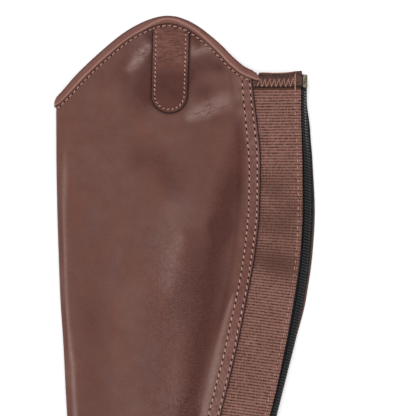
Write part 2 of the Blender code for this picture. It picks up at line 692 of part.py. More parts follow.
def plate(name, outline, holes, thickness, slot, collection, frame):
    """A flat plate from a closed outline in a frame's X and Y, with holes, as thick on both sides."""
    curve = bpy.data.curves.new(name, "CURVE")
    curve.dimensions = "2D"
    curve.fill_mode = "BOTH"
    curve.extrude = thickness / 2 * MM
    for loop in (outline, *holes):
        spline = curve.splines.new("POLY")
        spline.points.add(len(loop) - 1)
        for point, (x, y) in zip(spline.points, loop):
            point.co = (x * MM, y * MM, 0.0, 1.0)
        spline.use_cyclic_u = True
    curve_object = bpy.data.objects.new(name + "_outline", curve)
    collection.objects.link(curve_object)
    mesh = bpy.data.meshes.new_from_object(curve_object.evaluated_get(bpy.context.evaluated_depsgraph_get()))
    bpy.data.objects.remove(curve_object)
    bm = bmesh.new()
    bm.from_mesh(mesh)
    bmesh.ops.remove_doubles(bm, verts=bm.verts, dist=0.01 * MM)
    bpy.data.meshes.remove(mesh)
    made = new_object(name, mesh_of(name, bm), slot, collection)
    made.parent = frame
    return made


def rounded_rectangle(left, right, low, high, radius, steps=4):
    """Points of a rectangle with round corners."""
    points = []
    centres = ((right - radius, high - radius, 0.0), (left + radius, high - radius, 90.0),
               (left + radius, low + radius, 180.0), (right - radius, low + radius, 270.0))
    for x, y, start in centres:
        for k in range(steps + 1):
            angle = math.radians(start + 90.0 * k / steps)
            points.append((x + radius * math.cos(angle), y + radius * math.sin(angle)))
    return points


PLATE_LOW = 2.5                 # underside of the slider's top plate, out from the tape's middle
PLATE_THICKNESS = 1.1
UNDER_PLATE_LOW = -1.7
UNDER_PLATE_THICKNESS = 0.9
BRIDGE_WIDTH = 2.2
BRIDGE_LENGTH = 7.4
BRIDGE_HOLLOW = 2.0
BRIDGE_TOP = 1.0
POST_WIDTH = 1.6
PULL_THICKNESS = 1.0
PULL_LENGTH = 25.0
PULL_WIDTH = 6.4
PULL_BAR = 0.9
PULL_WINDOW = 5.0
PLATE_TOP = PLATE_LOW + PLATE_THICKNESS
HINGE_OUT = PLATE_TOP + GAP + PULL_THICKNESS / 2     # the pull's bar lies just over the top plate


def make_box(collection, cutters):
    """The separable end's box: a small block with round edges and a notch across it."""
    frame = zip_frame("box_frame", BOX_MIDDLE, TAPE / 2 + GAP, collection)
    box = block("zip_box", (BOX_WIDTH, BOX_LENGTH, BOX_HEIGHT), (0.0, 0.0, BOX_HEIGHT / 2),
                "aged_brass", collection, frame)
    round_edges(box, 0.6)
    notch = block("box_notch", (2 * BOX_WIDTH, 0.7, 1.0), (0.0, -2.0, BOX_HEIGHT),
                  "aged_brass", cutters, frame)
    boolean(box, notch, "DIFFERENCE")
    return box


def make_slider(collection, cutters):
    """Two plates, the post that parts the coils, and the bridge that holds the pull."""
    frame = zip_frame("slider_frame", SLIDER_HEIGHT, 0.0, collection)
    half = SLIDER_LENGTH / 2
    slider = plate("zip_slider", rounded_rectangle(-SLIDER_WIDTH / 2, SLIDER_WIDTH / 2, -half, half, 1.6),
                   (), PLATE_THICKNESS, "aged_brass", collection, frame)
    slider.location.z = (PLATE_LOW + PLATE_THICKNESS / 2) * MM
    under = plate("slider_under_plate",
                  rounded_rectangle(0.4 - SLIDER_WIDTH / 2, SLIDER_WIDTH / 2 - 0.4,
                                    0.6 - half, half - 0.6, 1.4),
                  (), UNDER_PLATE_THICKNESS, "aged_brass", cutters, frame)
    under.location.z = (UNDER_PLATE_LOW + UNDER_PLATE_THICKNESS / 2) * MM
    post_low = UNDER_PLATE_LOW + 0.2
    post_high = PLATE_TOP - 0.2
    post = block("slider_post", (POST_WIDTH, 3.0, post_high - post_low),
                 (0.0, 2.2 - half, (post_high + post_low) / 2), "aged_brass", cutters, frame)
    bridge_low = PLATE_LOW + 0.2
    bridge_high = PLATE_TOP + BRIDGE_HOLLOW + BRIDGE_TOP
    bridge = block("slider_bridge", (BRIDGE_WIDTH, BRIDGE_LENGTH, bridge_high - bridge_low),
                   (0.0, 0.0, (bridge_high + bridge_low) / 2), "aged_brass", cutters, frame)
    round_edges(bridge, 0.5, 1)
    pillar = 1.1
    hollow = block("bridge_hollow", (2 * BRIDGE_WIDTH, BRIDGE_LENGTH - 2 * pillar, BRIDGE_HOLLOW),
                   (0.0, 0.0, PLATE_TOP + BRIDGE_HOLLOW / 2), "aged_brass", cutters, frame)
    for piece in (under, post, bridge):
        boolean(slider, piece, "UNION")
    boolean(slider, hollow, "DIFFERENCE")
    return slider


def make_pull_tab(collection):
    """A flat pull whose end bar lies in the slider's bridge; its frame is on the hinge's axis."""
    frame = zip_frame("pull_hinge", SLIDER_HEIGHT, HINGE_OUT, collection)
    window = rounded_rectangle(-1.6, 1.6, PULL_BAR / 2, PULL_BAR / 2 + PULL_WINDOW, 0.4, 2)
    grip = rounded_rectangle(-1.3, 1.3, PULL_LENGTH - 8.5, PULL_LENGTH - 2.6, 1.3)
    outline = rounded_rectangle(-PULL_WIDTH / 2, PULL_WIDTH / 2, -PULL_BAR / 2, PULL_LENGTH, 0.4, 2)
    outline = [(x * pull_taper(y), y) for x, y in outline]
    return plate("pull_tab", outline, (window, grip), PULL_THICKNESS, "aged_brass", collection, frame)


def pull_taper(y):
    """The pull is a little narrower at its hinge than at its grip."""
    return 0.86 if y < PULL_BAR else 1.0


# ---- the whole gaiter ------------------------------------------------------------------------------------

def main():
    for thing in list(bpy.data.objects):
        bpy.data.objects.remove(thing)
    parts = bpy.data.collections.new(PART_NAME)
    cutters = bpy.data.collections.new("cutters")
    for collection in (parts, cutters):
        bpy.context.scene.collection.children.link(collection)
    make_leather_panel(parts)
    make_elastic_panel(parts)
    make_top_binding(parts)
    make_tab(parts)
    make_hem_band(parts)
    make_outer_tape(parts)
    make_inner_tape(parts)
    make_chain(parts)
    make_box(parts, cutters)
    make_slider(parts, cutters)
    make_pull_tab(parts)


main()
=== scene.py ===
"""The looks of a leather gaiter that lies flat with its zip closed.

Sizes are in millimetres, as x from the shin to the calf, height above the ankle hem, and z up from the
surface, and become metres of the model's frame where a mesh is made.  The sizes, tables and surfaces down
to the places read off the photograph are those of the model, so every piece lies on its solid's own form.
"""
import math

import bmesh
import bpy
import mathutils
import numpy as np
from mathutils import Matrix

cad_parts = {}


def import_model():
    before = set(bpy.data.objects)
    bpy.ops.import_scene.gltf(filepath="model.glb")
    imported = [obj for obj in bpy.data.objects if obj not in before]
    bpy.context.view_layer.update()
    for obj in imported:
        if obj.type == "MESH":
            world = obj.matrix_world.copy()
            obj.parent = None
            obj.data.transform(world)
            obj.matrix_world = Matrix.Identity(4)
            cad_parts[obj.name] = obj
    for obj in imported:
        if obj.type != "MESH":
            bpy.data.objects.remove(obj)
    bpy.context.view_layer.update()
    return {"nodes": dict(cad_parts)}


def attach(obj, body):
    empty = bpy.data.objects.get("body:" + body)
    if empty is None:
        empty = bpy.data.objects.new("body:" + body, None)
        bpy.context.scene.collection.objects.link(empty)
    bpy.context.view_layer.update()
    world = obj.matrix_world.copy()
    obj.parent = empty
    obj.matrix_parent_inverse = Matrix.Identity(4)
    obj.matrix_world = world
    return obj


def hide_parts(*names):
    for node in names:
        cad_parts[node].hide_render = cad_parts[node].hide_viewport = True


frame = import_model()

MM = 0.001

# ---- thicknesses and gaps ----
LEATHER = 1.7           # the wrapped leather
TAB_LEATHER = 1.4       # the tab under the peak
ELASTIC = 1.3           # the elastic between its ribs
RIB_RISE = 0.35         # how far a rib stands out of the elastic
TAPE = 1.0              # the zip's tapes
TRIM = 1.0              # the edge binding's legs and the hem band
GAP = 0.3               # kept between pieces that touch

# ---- the leather as it lies ----
LENGTH = 440.0          # ankle hem to the top of the bound peak
MIDDLE_X = -0.25        # the middle of the width, in the table's x
FOLD_RADIUS = 3.3       # outside of the fold on the shin
SEAM_OVERLAP = 12.0     # how far the leather covers the elastic
OVERLAP_RAMP = 6.0      # width over which the leather climbs onto the elastic
CLIMBED_AT = SEAM_OVERLAP + GAP     # from the cut edge to where it has climbed
PANEL_LEVEL = 2.9       # height of the upper leather's inner face over the lower panel
BOUND_LEVEL = 4.75      # the same where it crosses the inner side's bound edge
PEAK_LEVEL = 1.35       # the same at the peak, which has no lower panel under it
SHOULDER_START = 8.0    # x from which the peak's side no longer sinks, held up by the elastic
SHOULDER_WIDTH = 26.0
SHIN_ROUND_START = 4.0  # from the shin line to where the upper leather leaves the fold's height
SHIN_ROUND_WIDTH = 22.0

# ---- the elastic ----
ELASTIC_TOP = 397.5     # height of its upper end
ELASTIC_LEVEL = 2.9     # height of its inner face beside the leather
ELASTIC_TOP_LEVEL = 4.6  # the same at the top, where it crosses the inner side's bound edge
ELASTIC_RISE_START = 366.0      # height above which it rises to that level
ELASTIC_RISE_HEIGHT = 18.0
RIB_COUNT = 192

# ---- the zip ----
TAPE_TOP = 398.0
TAPE_UNDER_ELASTIC = 7.0
TAPE_ON_LEATHER = 11.0
CHAIN_WIDTH = 5.6
CHAIN_HEIGHT = 1.4
CHAIN_STRAIGHT = 3.0    # straight run of the outer tape from the chain's middle
UPPER_BEND = 1.0        # radius in which the outer tape turns under the elastic
FALL_ANGLE = math.radians(18.0)
TAPE_LEVEL = LEATHER + GAP + TAPE / 2

# ---- the binding on the top edge ----
BINDING_OUTER_LEG = 4.7
BINDING_INNER_LEG = 2.6
RAISE_START = 14.0           # below the inner side's top edge: its leather starts to rise over the strip
RAISE_RAMP = 7.5
RAISE_END_X = 63.5           # it sinks again from here towards the zip
RAISE_END_WIDTH = 10.5

# ---- the tab under the peak ----
TAB_WIDTH = 26.8
TAB_BOTTOM = 369.9
TAB_TOP_CENTRE = 83.0        # round from the shin
TAB_BOTTOM_CENTRE = 81.6

# ---- the band across the top of the elastic ----
BAND_BOTTOM = 388.5
BAND_TOP = 399.2

# The gaiter's sections, one for each height above the hem.  shin: x of the fold.  seam: x of the leather's
# cut edge on the elastic.  chain: x of the zip's middle.  tilt: how far the chain turns to face the calf.
# elastic_at: from the chain's middle to the elastic's edge.  tape_run: from the chain's middle to the bend
# of the inner tape.  bend: that bend's radius.  curl: how far the lower leather follows it, in degrees.
SECTION_COLUMNS = ("shin", "seam", "chain", "tilt", "elastic_at", "tape_run", "bend", "curl")
SECTIONS = {
    0.0: (-76.5, 7.9, 44.2, 20.0, 3.5, 3.2, 1.4, 20.0),
    29.3: (-77.8, 8.1, 44.2, 20.0, 3.5, 3.2, 1.4, 20.0),
    50.8: (-78.7, 8.9, 46.3, 24.0, 3.5, 3.2, 1.0, 20.0),
    93.7: (-80.8, 12.9, 50.1, 30.0, 3.5, 3.2, 0.7, 20.0),
    129.4: (-82.9, 19.3, 56.5, 36.0, 3.5, 3.1, 0.6, 20.0),
    165.2: (-85.1, 28.5, 65.5, 40.0, 3.5, 3.1, 0.6, 20.0),
    208.1: (-87.3, 38.6, 75.7, 35.0, 3.7, 3.1, 0.6, 30.0),
    236.7: (-89.2, 44.3, 81.3, 25.0, 3.65, 3.3, 0.6, 56.0),
    272.4: (-90.6, 50.8, 85.7, 24.0, 3.45, 4.0, 0.6, 52.0),
    302.4: (-91.5, 53.7, 87.0, 25.0, 3.45, 4.7, 0.6, 40.0),
    336.8: (-92.1, 54.2, 86.3, 30.0, 3.4, 4.4, 0.6, 30.0),
    358.2: (-92.2, 52.5, 84.9, 32.0, 3.2, 4.6, 0.6, 20.0),
    379.7: (-92.2, 49.7, 84.0, 42.0, 3.25, 3.4, 0.6, 20.0),
    400.0: (-92.2, 47.5, 84.2, 42.0, 3.25, 3.1, 0.6, 20.0),
}

# The leather's top edge: its height for each distance round from the shin, negative on the inner side.
TOP_EDGE = {
    -176.8: 396.5, -3.9: 376.4, -0.8: 377.3, 1.2: 379.4, 3.85: 382.6, 8.65: 388.2, 17.15: 398.1,
    34.25: 414.4, 51.25: 427.9, 59.75: 432.8, 68.15: 436.4, 76.5: 438.5, 80.5: 438.8, 84.7: 438.5,
    93.0: 436.0, 101.4: 431.5, 109.9: 425.1, 118.4: 417.4, 126.9: 408.7, 135.7: 401.7, 144.6: 397.9,
}

# How far the binding's end runs on past the leather's cut edge, by height.
BINDING_END = {392.8: 4.1, 395.0: 5.3, 396.9: 4.3, 399.3: 3.1}

# Height of the upper leather's inner face, by height above the inner side's top edge.
LEVEL_OVER_EDGE = {
    -30.0: PANEL_LEVEL, -10.0: BOUND_LEVEL, 2.0: BOUND_LEVEL, 28.0: PEAK_LEVEL, 70.0: PEAK_LEVEL,
}

# How much the elastic's ribs fall from the leather towards the zip, by height.
RIB_SLOPE = {0.0: 0.0, 40.0: 0.10, 230.0: 0.12, 300.0: 0.03, 350.0: 0.0, 400.0: 0.0}

# The large soft forms of the upper leather: x and height where a line starts and where it ends, its half
# width and its rise.
SOFT_FORMS = (
    (32.0, 330.0, 20.0, 240.0, 17.0, -0.8),     # trough beside the seam, upper half
    (20.0, 240.0, 2.0, 150.0, 16.0, -0.8),      # the same, lower half
    (-12.0, 290.0, -16.0, 255.0, 24.0, 1.5),    # swell over the calf
    (-38.0, 232.0, -36.0, 190.0, 26.0, 1.2),    # its lower lobe
    (-10.0, 176.0, -22.0, 70.0, 24.0, 1.1),     # swell running down to the ankle
)

# ---- curves through the tables ----

def ease(t):
    """Goes from 0 to 1 with level ends."""
    t = np.clip(t, 0.0, 1.0)
    return t * t * (3.0 - 2.0 * t)


def bell(away, width):
    """1 at 0, falling to nothing on both sides."""
    return np.exp(-(away / width) ** 2)


def curve_through(table):
    """Returns a smooth curve through a table {place: value} that never overshoots its values."""
    places = np.array(sorted(table), float)
    values = np.array([table[place] for place in sorted(table)], float)
    steps = np.diff(places)
    slopes = np.diff(values) / steps
    tangents = np.concatenate(([slopes[0]], np.zeros(len(slopes) - 1), [slopes[-1]]))
    for i in range(1, len(slopes)):
        if slopes[i - 1] * slopes[i] > 0.0:
            before = 2.0 * steps[i] + steps[i - 1]
            after = steps[i] + 2.0 * steps[i - 1]
            tangents[i] = (before + after) / (before / slopes[i - 1] + after / slopes[i])

    def at(place):
        place = np.clip(place, places[0], places[-1])
        i = np.clip(np.searchsorted(places, place) - 1, 0, len(steps) - 1)
        t = (place - places[i]) / steps[i]
        rest = 1.0 - t
        return (values[i] * rest * rest * (1.0 + 2.0 * t) + values[i + 1] * t * t * (3.0 - 2.0 * t)
                + steps[i] * t * rest * (tangents[i] * rest - tangents[i + 1] * t))

    return at


def section_curve(column):
    index = SECTION_COLUMNS.index(column)
    return curve_through({height: row[index] for height, row in SECTIONS.items()})


shin_x = section_curve("shin")
seam_x = section_curve("seam")
chain_x = section_curve("chain")
tilt_degrees = section_curve("tilt")
elastic_at = section_curve("elastic_at")
tape_run = section_curve("tape_run")
bend_radius = section_curve("bend")
curl_degrees = section_curve("curl")
top_edge = curve_through(TOP_EDGE)
level_over_edge = curve_through(LEVEL_OVER_EDGE)
rib_slope = curve_through(RIB_SLOPE)
binding_end = curve_through(BINDING_END)

FOLD_MIDDLE = FOLD_RADIUS - LEATHER / 2         # radius of the leather's middle in the shin fold
FOLD_ARC = FOLD_MIDDLE * math.pi / 2            # half of its way round that fold
STRAIGHT_SHIN_HEIGHT = 400.0                    # the shin is straight beside the top edge
FAR_FROM_EDGE = 100.0                           # stands for the distance of the whole inner side


# ---- the zip's cross-section ----

def upper_turn(h):
    """How long the outer tape's bend is at height h."""
    return UPPER_BEND * (np.radians(tilt_degrees(h)) + FALL_ANGLE)


def zip_point(h, s, n):
    """The zip's guide curve at height h: s along it from the chain's middle, towards the elastic where
    positive and towards the inner side where negative, and n out from it.  Returns x and z."""
    h, s, n = np.broadcast_arrays(*(np.asarray(value, float) for value in (h, s, n)))
    tilt = np.radians(tilt_degrees(h))
    bend = bend_radius(h)
    run = tape_run(h)
    across, up = np.cos(tilt), np.sin(tilt)
    chain_z = TAPE_LEVEL + bend * (1.0 + across) + run * up

    straight = np.clip(s, -run, CHAIN_STRAIGHT)
    x = chain_x(h) - straight * across + n * up
    z = chain_z + straight * up + n * across

    # under the elastic: a bend over the top, then a fall that levels out
    turn = np.clip((s - CHAIN_STRAIGHT) / UPPER_BEND, 0.0, tilt + FALL_ANGLE)
    bend_x = chain_x(h) - CHAIN_STRAIGHT * across - UPPER_BEND * up
    bend_z = chain_z + CHAIN_STRAIGHT * up - UPPER_BEND * across
    upper = s > CHAIN_STRAIGHT
    x = np.where(upper, bend_x + (UPPER_BEND + n) * np.sin(tilt - turn), x)
    z = np.where(upper, bend_z + (UPPER_BEND + n) * np.cos(tilt - turn), z)
    along = np.clip(s - CHAIN_STRAIGHT - upper_turn(h), 0.0, None)
    drop = bend_z + UPPER_BEND * math.cos(FALL_ANGLE) - elastic_base(h)
    width = 2.0 * drop / math.tan(FALL_ANGLE)
    left = np.clip(1.0 - along / width, 0.0, None)
    slope = math.tan(FALL_ANGLE) * left
    length = np.sqrt(1.0 + slope * slope)
    fall_x = bend_x - UPPER_BEND * math.sin(FALL_ANGLE) - along
    falling = along > 0.0
    x = np.where(falling, fall_x - n * slope / length, x)
    z = np.where(falling, elastic_base(h) + drop * left * left + n / length, z)

    # the inner tape: a bend back under the chain, then flat on the lower leather
    back = np.clip((-s - run) / bend, 0.0, math.pi - tilt)
    turn_x, turn_z = inner_bend(h)
    lower = s < -run
    x = np.where(lower, turn_x + (bend + n) * np.sin(tilt + back), x)
    z = np.where(lower, turn_z + (bend + n) * np.cos(tilt + back), z)
    flat = np.clip(-s - run - bend * (math.pi - tilt), 0.0, None)
    x = np.where(flat > 0.0, turn_x - flat, x)
    z = np.where(flat > 0.0, TAPE_LEVEL - n, z)
    return x, z


def elastic_base(h):
    """Height of the guide curve where it has levelled out under the elastic."""
    risen = ease((h - ELASTIC_RISE_START) / ELASTIC_RISE_HEIGHT)
    inside = ELASTIC_LEVEL + (ELASTIC_TOP_LEVEL - ELASTIC_LEVEL) * risen
    return inside - GAP - TAPE / 2


def inner_bend(h):
    """Centre of the inner tape's bend."""
    tilt = np.radians(tilt_degrees(h))
    run = tape_run(h)
    x = chain_x(h) + run * np.cos(tilt) - bend_radius(h) * np.sin(tilt)
    return x, TAPE_LEVEL + bend_radius(h)


def fall_start_x(h):
    """x where the outer tape starts to fall away from the zip."""
    tilt = np.radians(tilt_degrees(h))
    return (chain_x(h) - CHAIN_STRAIGHT * np.cos(tilt) - UPPER_BEND * np.sin(tilt)
            - UPPER_BEND * math.sin(FALL_ANGLE))


def along_at(h, x):
    """The guide's s at a place x under the elastic, left of the bend."""
    return CHAIN_STRAIGHT + upper_turn(h) + fall_start_x(h) - x


def elastic_inner_level(x, h):
    """Height of the elastic's inner face at x, left of its bend."""
    return zip_point(h, along_at(h, x), TAPE / 2 + GAP)[1]


# ---- the leather as a surface ----

def around(x, h):
    """Distance round the leather from the shin line to a flat place x."""
    return FOLD_ARC + x - shin_x(h) - FOLD_RADIUS


def field_x(w, h):
    """Flat x of a place w round from the shin line."""
    return shin_x(h) + FOLD_RADIUS + np.abs(w) - FOLD_ARC


def over_inner_edge(x, h):
    """Height above the inner side's top edge."""
    return h - top_edge(-around(x, STRAIGHT_SHIN_HEIGHT))


def binding_raise(x, h):
    """How far the lower leather is lifted by the binding under its top edge."""
    near_edge = ease((over_inner_edge(x, h) + RAISE_START) / RAISE_RAMP)
    before_zip = 1.0 - ease((x - RAISE_END_X) / RAISE_END_WIDTH)
    return (TRIM + GAP) * near_edge * before_zip


def off_segment(x, h, start, end):
    """Distance from the straight line between two places, and the share of it that lies before, 0 to 1."""
    run_x, run_h = end[0] - start[0], end[1] - start[1]
    t = np.clip(((x - start[0]) * run_x + (h - start[1]) * run_h) / (run_x ** 2 + run_h ** 2), 0.0, 1.0)
    return np.hypot(x - start[0] - t * run_x, h - start[1] - t * run_h), t


def soft_forms(x, h):
    """The large swells and troughs of the upper leather."""
    total = np.zeros(np.broadcast(x, h).shape)
    for x_from, h_from, x_to, h_to, half_width, rise in SOFT_FORMS:
        away = off_segment(x, h, (x_from, h_from), (x_to, h_to))[0]
        total = total + rise * ease(1.0 - away / half_width)
    return total


def onto_elastic(x, h):
    """0 on the plain leather, 1 where it has climbed onto the elastic."""
    inset = seam_x(h) - x
    return ease((CLIMBED_AT + OVERLAP_RAMP - inset) / OVERLAP_RAMP)


def upper_level(x, h):
    """Height of the upper leather's inner face."""
    over_edge = over_inner_edge(x, h)
    beside_elastic = ease((x - SHOULDER_START) / SHOULDER_WIDTH)
    over_edge = np.where(over_edge > 0.0, over_edge * (1.0 - beside_elastic), over_edge)
    field = level_over_edge(over_edge) + soft_forms(x, h)
    at_shin = 2.0 * FOLD_RADIUS - LEATHER + binding_raise(x, h)
    level = at_shin + (field - at_shin) * ease((x - shin_x(h) - SHIN_ROUND_START) / SHIN_ROUND_WIDTH)
    on_elastic = elastic_inner_level(x, h) + ELASTIC + RIB_RISE + GAP
    climbed = onto_elastic(x, h)
    return level * (1.0 - climbed) + on_elastic * climbed


def leather_point(w, h, n):
    """A point of the leather: w round from the shin line, h up the leg, n out from its middle."""
    w, h, n = np.broadcast_arrays(*(np.asarray(value, float) for value in (w, h, n)))
    flat_x = field_x(w, h)
    raised = binding_raise(flat_x, h)
    angle = np.clip(w / FOLD_MIDDLE, -math.pi / 2, math.pi / 2)
    x = shin_x(h) + FOLD_RADIUS - (FOLD_MIDDLE + n) * np.cos(angle)
    z = raised + FOLD_RADIUS + (FOLD_MIDDLE + n) * np.sin(angle)

    outer = w > FOLD_ARC
    x = np.where(outer, flat_x, x)
    z = np.where(outer, upper_level(flat_x, h) + LEATHER / 2 + n, z)

    inner = w < -FOLD_ARC
    turn_x, turn_z = inner_bend(h)
    radius = bend_radius(h) + TAPE / 2 + GAP + LEATHER / 2
    curl = np.clip((flat_x - turn_x) / radius, 0.0, None)
    x = np.where(inner, np.where(curl > 0.0, turn_x + (radius + n) * np.sin(curl), flat_x), x)
    curled_z = turn_z - (radius + n) * np.cos(curl)
    z = np.where(inner, np.where(curl > 0.0, curled_z, raised + LEATHER / 2 - n), z)
    return np.stack((x, h, z), axis=-1)


def edge_stretch(w):
    """How much longer a step up the leg is than the same step square to the top edge."""
    step = 0.25
    rise = (top_edge(w + step) - top_edge(w - step)) / (2.0 * step)
    return np.sqrt(1.0 + rise * rise)


def below_top_edge(w, h):
    """Distance in from the top edge, square to it."""
    return (top_edge(w) - h) / edge_stretch(w)


def from_cut_edge(w, h):
    """Distance in from the leather's cut edge on the elastic, on the outer side."""
    return np.where(w > 0.0, seam_x(h) - field_x(w, h), FAR_FROM_EDGE)


# ---- places read off the photograph, in its pixels ----

PIXEL = 0.715           # mm across one pixel
PIXEL_X = 185.0         # the pixel column of x = 0
PIXEL_HEM = 631.0       # the pixel row of the ankle hem


def at_pixels(points):
    """x and height above the hem of points given in the photograph's pixels."""
    points = np.asarray(points, float)
    return np.stack(((points[:, 0] - PIXEL_X) * PIXEL, (PIXEL_HEM - points[:, 1]) * PIXEL), axis=-1)


# Creases and swells of the outer side: half width and rise in mm, then the line that each follows.
CREASES = (
    (11.0, -0.50, ((242, 150), (237, 190), (227, 240), (220, 296), (208, 345), (193, 400))),
    (12.0, 0.55, ((178, 205), (168, 255), (138, 296), (132, 345), (150, 385))),
    (6.0, 0.45, ((188, 121), (206, 108), (226, 99))),
    (5.0, -0.35, ((196, 132), (214, 120), (233, 116))),
    (5.0, 0.35, ((126, 74), (138, 60), (147, 45))),
    (5.0, -0.35, ((132, 84), (146, 70), (150, 60))),
    (6.0, 0.35, ((194, 56), (200, 46), (208, 44))),
    (7.0, -0.4, ((196, 72), (208, 66), (222, 70))),
    (9.0, -0.45, ((152, 160), (172, 172), (178, 200))),
    (7.0, -0.4, ((188, 178), (178, 200))),
    (5.0, 0.5, ((226, 318), (214, 355), (207, 390), (199, 430))),
    (6.0, 0.4, ((66, 180), (67, 250), (70, 330), (73, 420))),
    (10.0, -0.4, ((100, 170), (112, 240), (108, 320), (118, 410))),
    (12.0, 0.45, ((150, 430), (146, 480), (152, 540), (150, 600))),
    (11.0, -0.5, ((190, 420), (178, 480), (172, 560), (172, 620))),
    (8.0, -0.35, ((112, 450), (104, 520), (108, 590))),
)
# The same on the inner side, which rests on the surface, so all of them are hollows.
INNER_CREASES = (
    (12.0, -0.45, ((96, 130), (120, 200), (116, 290), (104, 370), (96, 440))),
    (9.0, -0.35, ((250, 150), (262, 210), (250, 280), (226, 350))),
    (11.0, -0.45, ((176, 110), (168, 170), (184, 240), (170, 330))),
    (10.0, -0.4, ((170, 420), (150, 490), (150, 600))),
    (8.0, -0.35, ((98, 500), (104, 560), (100, 610))),
)
# Painted sheen and shade on the leather, with some tone: half width in mm and amount, lighter and greyer
# above 0, darker and redder below.
SHEEN_SHADE_AND_TONES = (
    ((11, 15, 17, 18, 15), -0.66, ((242, 128), (239, 158), (234, 184), (228, 206), (223, 226))),
    (17.0, -0.36, ((232, 184), (226, 204), (222, 220))),
    ((18, 23, 26, 25, 20, 17, 15, 13), -1.0,
     ((219, 232), (212, 262), (208, 294), (205, 320), (202, 342), (199, 362), (196, 382), (190, 412))),
    ((12, 12, 14), -0.9, ((190, 412), (184, 450), (176, 520))),
    ((11, 15, 14), -0.36, ((191, 236), (184, 272), (177, 312))),
    (17.0, 0.14, ((177, 208), (168, 245), (164, 272))),
    ((8, 12, 13, 9), 0.40, ((180, 240), (175, 256), (173, 272), (170, 288))),
    (15.0, 0.08, ((135, 288), (131, 312))),
    (18.0, 0.09, ((130, 335), (128, 385), (140, 450))),
    (10.0, -0.14, ((160, 312), (165, 345), (160, 372))),
    (8.0, 0.06, ((173, 380), (173, 402))),
    (18.0, -0.50, ((140, 156), (163, 164), (171, 180))),
    (26.0, -0.20, ((205, 145), (205, 190))),
    ((9, 11, 13, 11), -0.85, ((151, 60), (147, 76), (146, 90), (150, 98))),
    (8.0, -0.28, ((127, 44), (125, 66))),
    (14.0, -0.48, ((130, 80), (133, 96), (139, 108))),
    ((7, 12, 13, 8), -0.82, ((189, 77), (196, 67), (207, 65), (220, 68))),
    (11.0, -0.50, ((192, 86), (204, 93))),
    (15.0, -0.24, ((208, 92), (222, 96))),
    (14.0, -0.34, ((104, 78), (122, 68))),
    (5.0, -0.90, ((148, 32), (150, 41))),
    (5.0, -0.90, ((192, 34), (199, 44))),
    ((6, 8, 6), 0.98, ((129, 69), (140, 58), (149, 45))),
    ((8, 8, 6), 0.62, ((194, 52), (202, 49), (209, 50))),
    ((6, 12, 11), 0.74, ((190, 117), (206, 109), (223, 100))),
    (7.0, 0.20, ((239, 80), (239, 98))),
    (6.0, -0.25, ((212, 122), (232, 118))),
    (18.0, -0.12, ((95, 230), (92, 330))),
    (14.0, -0.22, ((92, 310), (95, 416))),
    ((2, 4.0, 6.4, 7.6, 7.6, 7.6), 0.95,
     ((234, 294), (227, 316), (218, 347), (210, 380), (203, 410), (196, 440))),
    (12.0, -0.35, ((172, 500), (166, 600))),
    (14.0, 0.14, ((130, 480), (124, 540), (130, 610))),
)
# Where the upper leather is wrinkled, which also streaks its painted sheen and paints shade in its creases,
# and where its grain is coarse.
WRINKLED = ((1.0, 143.0, 54.0, 10.0, 20.0), (0.7, 208.0, 109.0, 20.0, 13.0), (0.7, 202.0, 46.0, 12.0, 9.0))
GRAINY_SPOTS = ((0.6, 175.0, 292.0, 18.0, 45.0), (0.8, 182.0, 408.0, 22.0, 22.0))
GRAINY_LINES = ((34.0, 0.45, ((166, 250), (172, 320), (170, 420))),)
# From the shin to the line that shines along the fold, by height.
SHIN_SHINE_AT = {0: 5.6, 159: 5.9, 187: 5.9, 201: 5.0, 215: 4.3, 237: 3.9, 265: 4.15, 294: 4.65, 322: 5.9}
SHIN_SHINE_WIDTH = 1.7
SHIN_SHINE_GROWS_BELOW = 300.0
SHIN_SHINE_TOP = 352.0
FOLD_SHADE_TOP = 382.0      # height up to which the fold itself is dark
shin_shine_at = curve_through(SHIN_SHINE_AT)
# Painted light and shade on the leather between its cut edge and the inner row of stitches, by height.
SEAM_STRIP_LIGHT_AND_SHADE = {0: 0.3, 165: 0.55, 190: 0.36, 218: 0.2, 237: -0.25, 272: -0.62, 301: -0.2, 330: 0.04, 358: 0.3,
             378: 0.15, 400: 0.2}
seam_strip_light_and_shade = curve_through(SEAM_STRIP_LIGHT_AND_SHADE)


def beside_line(x, h, points, half_width):
    """1 on the line through the points, falling smoothly to 0 at half_width from it, one for each point or
    one for all."""
    points = at_pixels(points)
    widths = np.broadcast_to(half_width, len(points))
    away = np.full(np.shape(x), np.inf)
    for start, end, low, high in zip(points, points[1:], widths, widths[1:]):
        off_line, t = off_segment(x, h, start, end)
        away = np.minimum(away, off_line / (low + (high - low) * t))
    return ease(1.0 - away)


def lumps(x, h, size):
    """Smooth irregular values from -1 to 1, with features of about the given size in mm."""
    a, b = x * 2.0 * math.pi / size, h * 2.0 * math.pi / size
    return (np.sin(0.83 * a + 0.41 * b + 1.3 * np.sin(0.47 * b - 0.21 * a))
            + np.sin(0.37 * a - 0.91 * b + 1.1 * np.sin(0.53 * a + 0.3 * b + 2.0))
            + 0.6 * np.sin(1.31 * a + 1.17 * b + 4.0)) / 2.6


def summed(x, h, table):
    """The sum of a table's lines: half width in mm, amount, points in pixels."""
    total = np.zeros(np.shape(x))
    for half_width, amount, points in table:
        total = total + amount * beside_line(x, h, points, half_width)
    return total


def spots(x, h, table):
    """The sum of a table's round spots: amount, column, row and the two half widths, in pixels."""
    column, row = PIXEL_X + x / PIXEL, PIXEL_HEM - h / PIXEL
    return sum(amount * np.exp(-(((column - middle) / across) ** 2 + ((row - height) / up) ** 2))
               for amount, middle, height, across, up in table)


# ---- the leather's relief ----

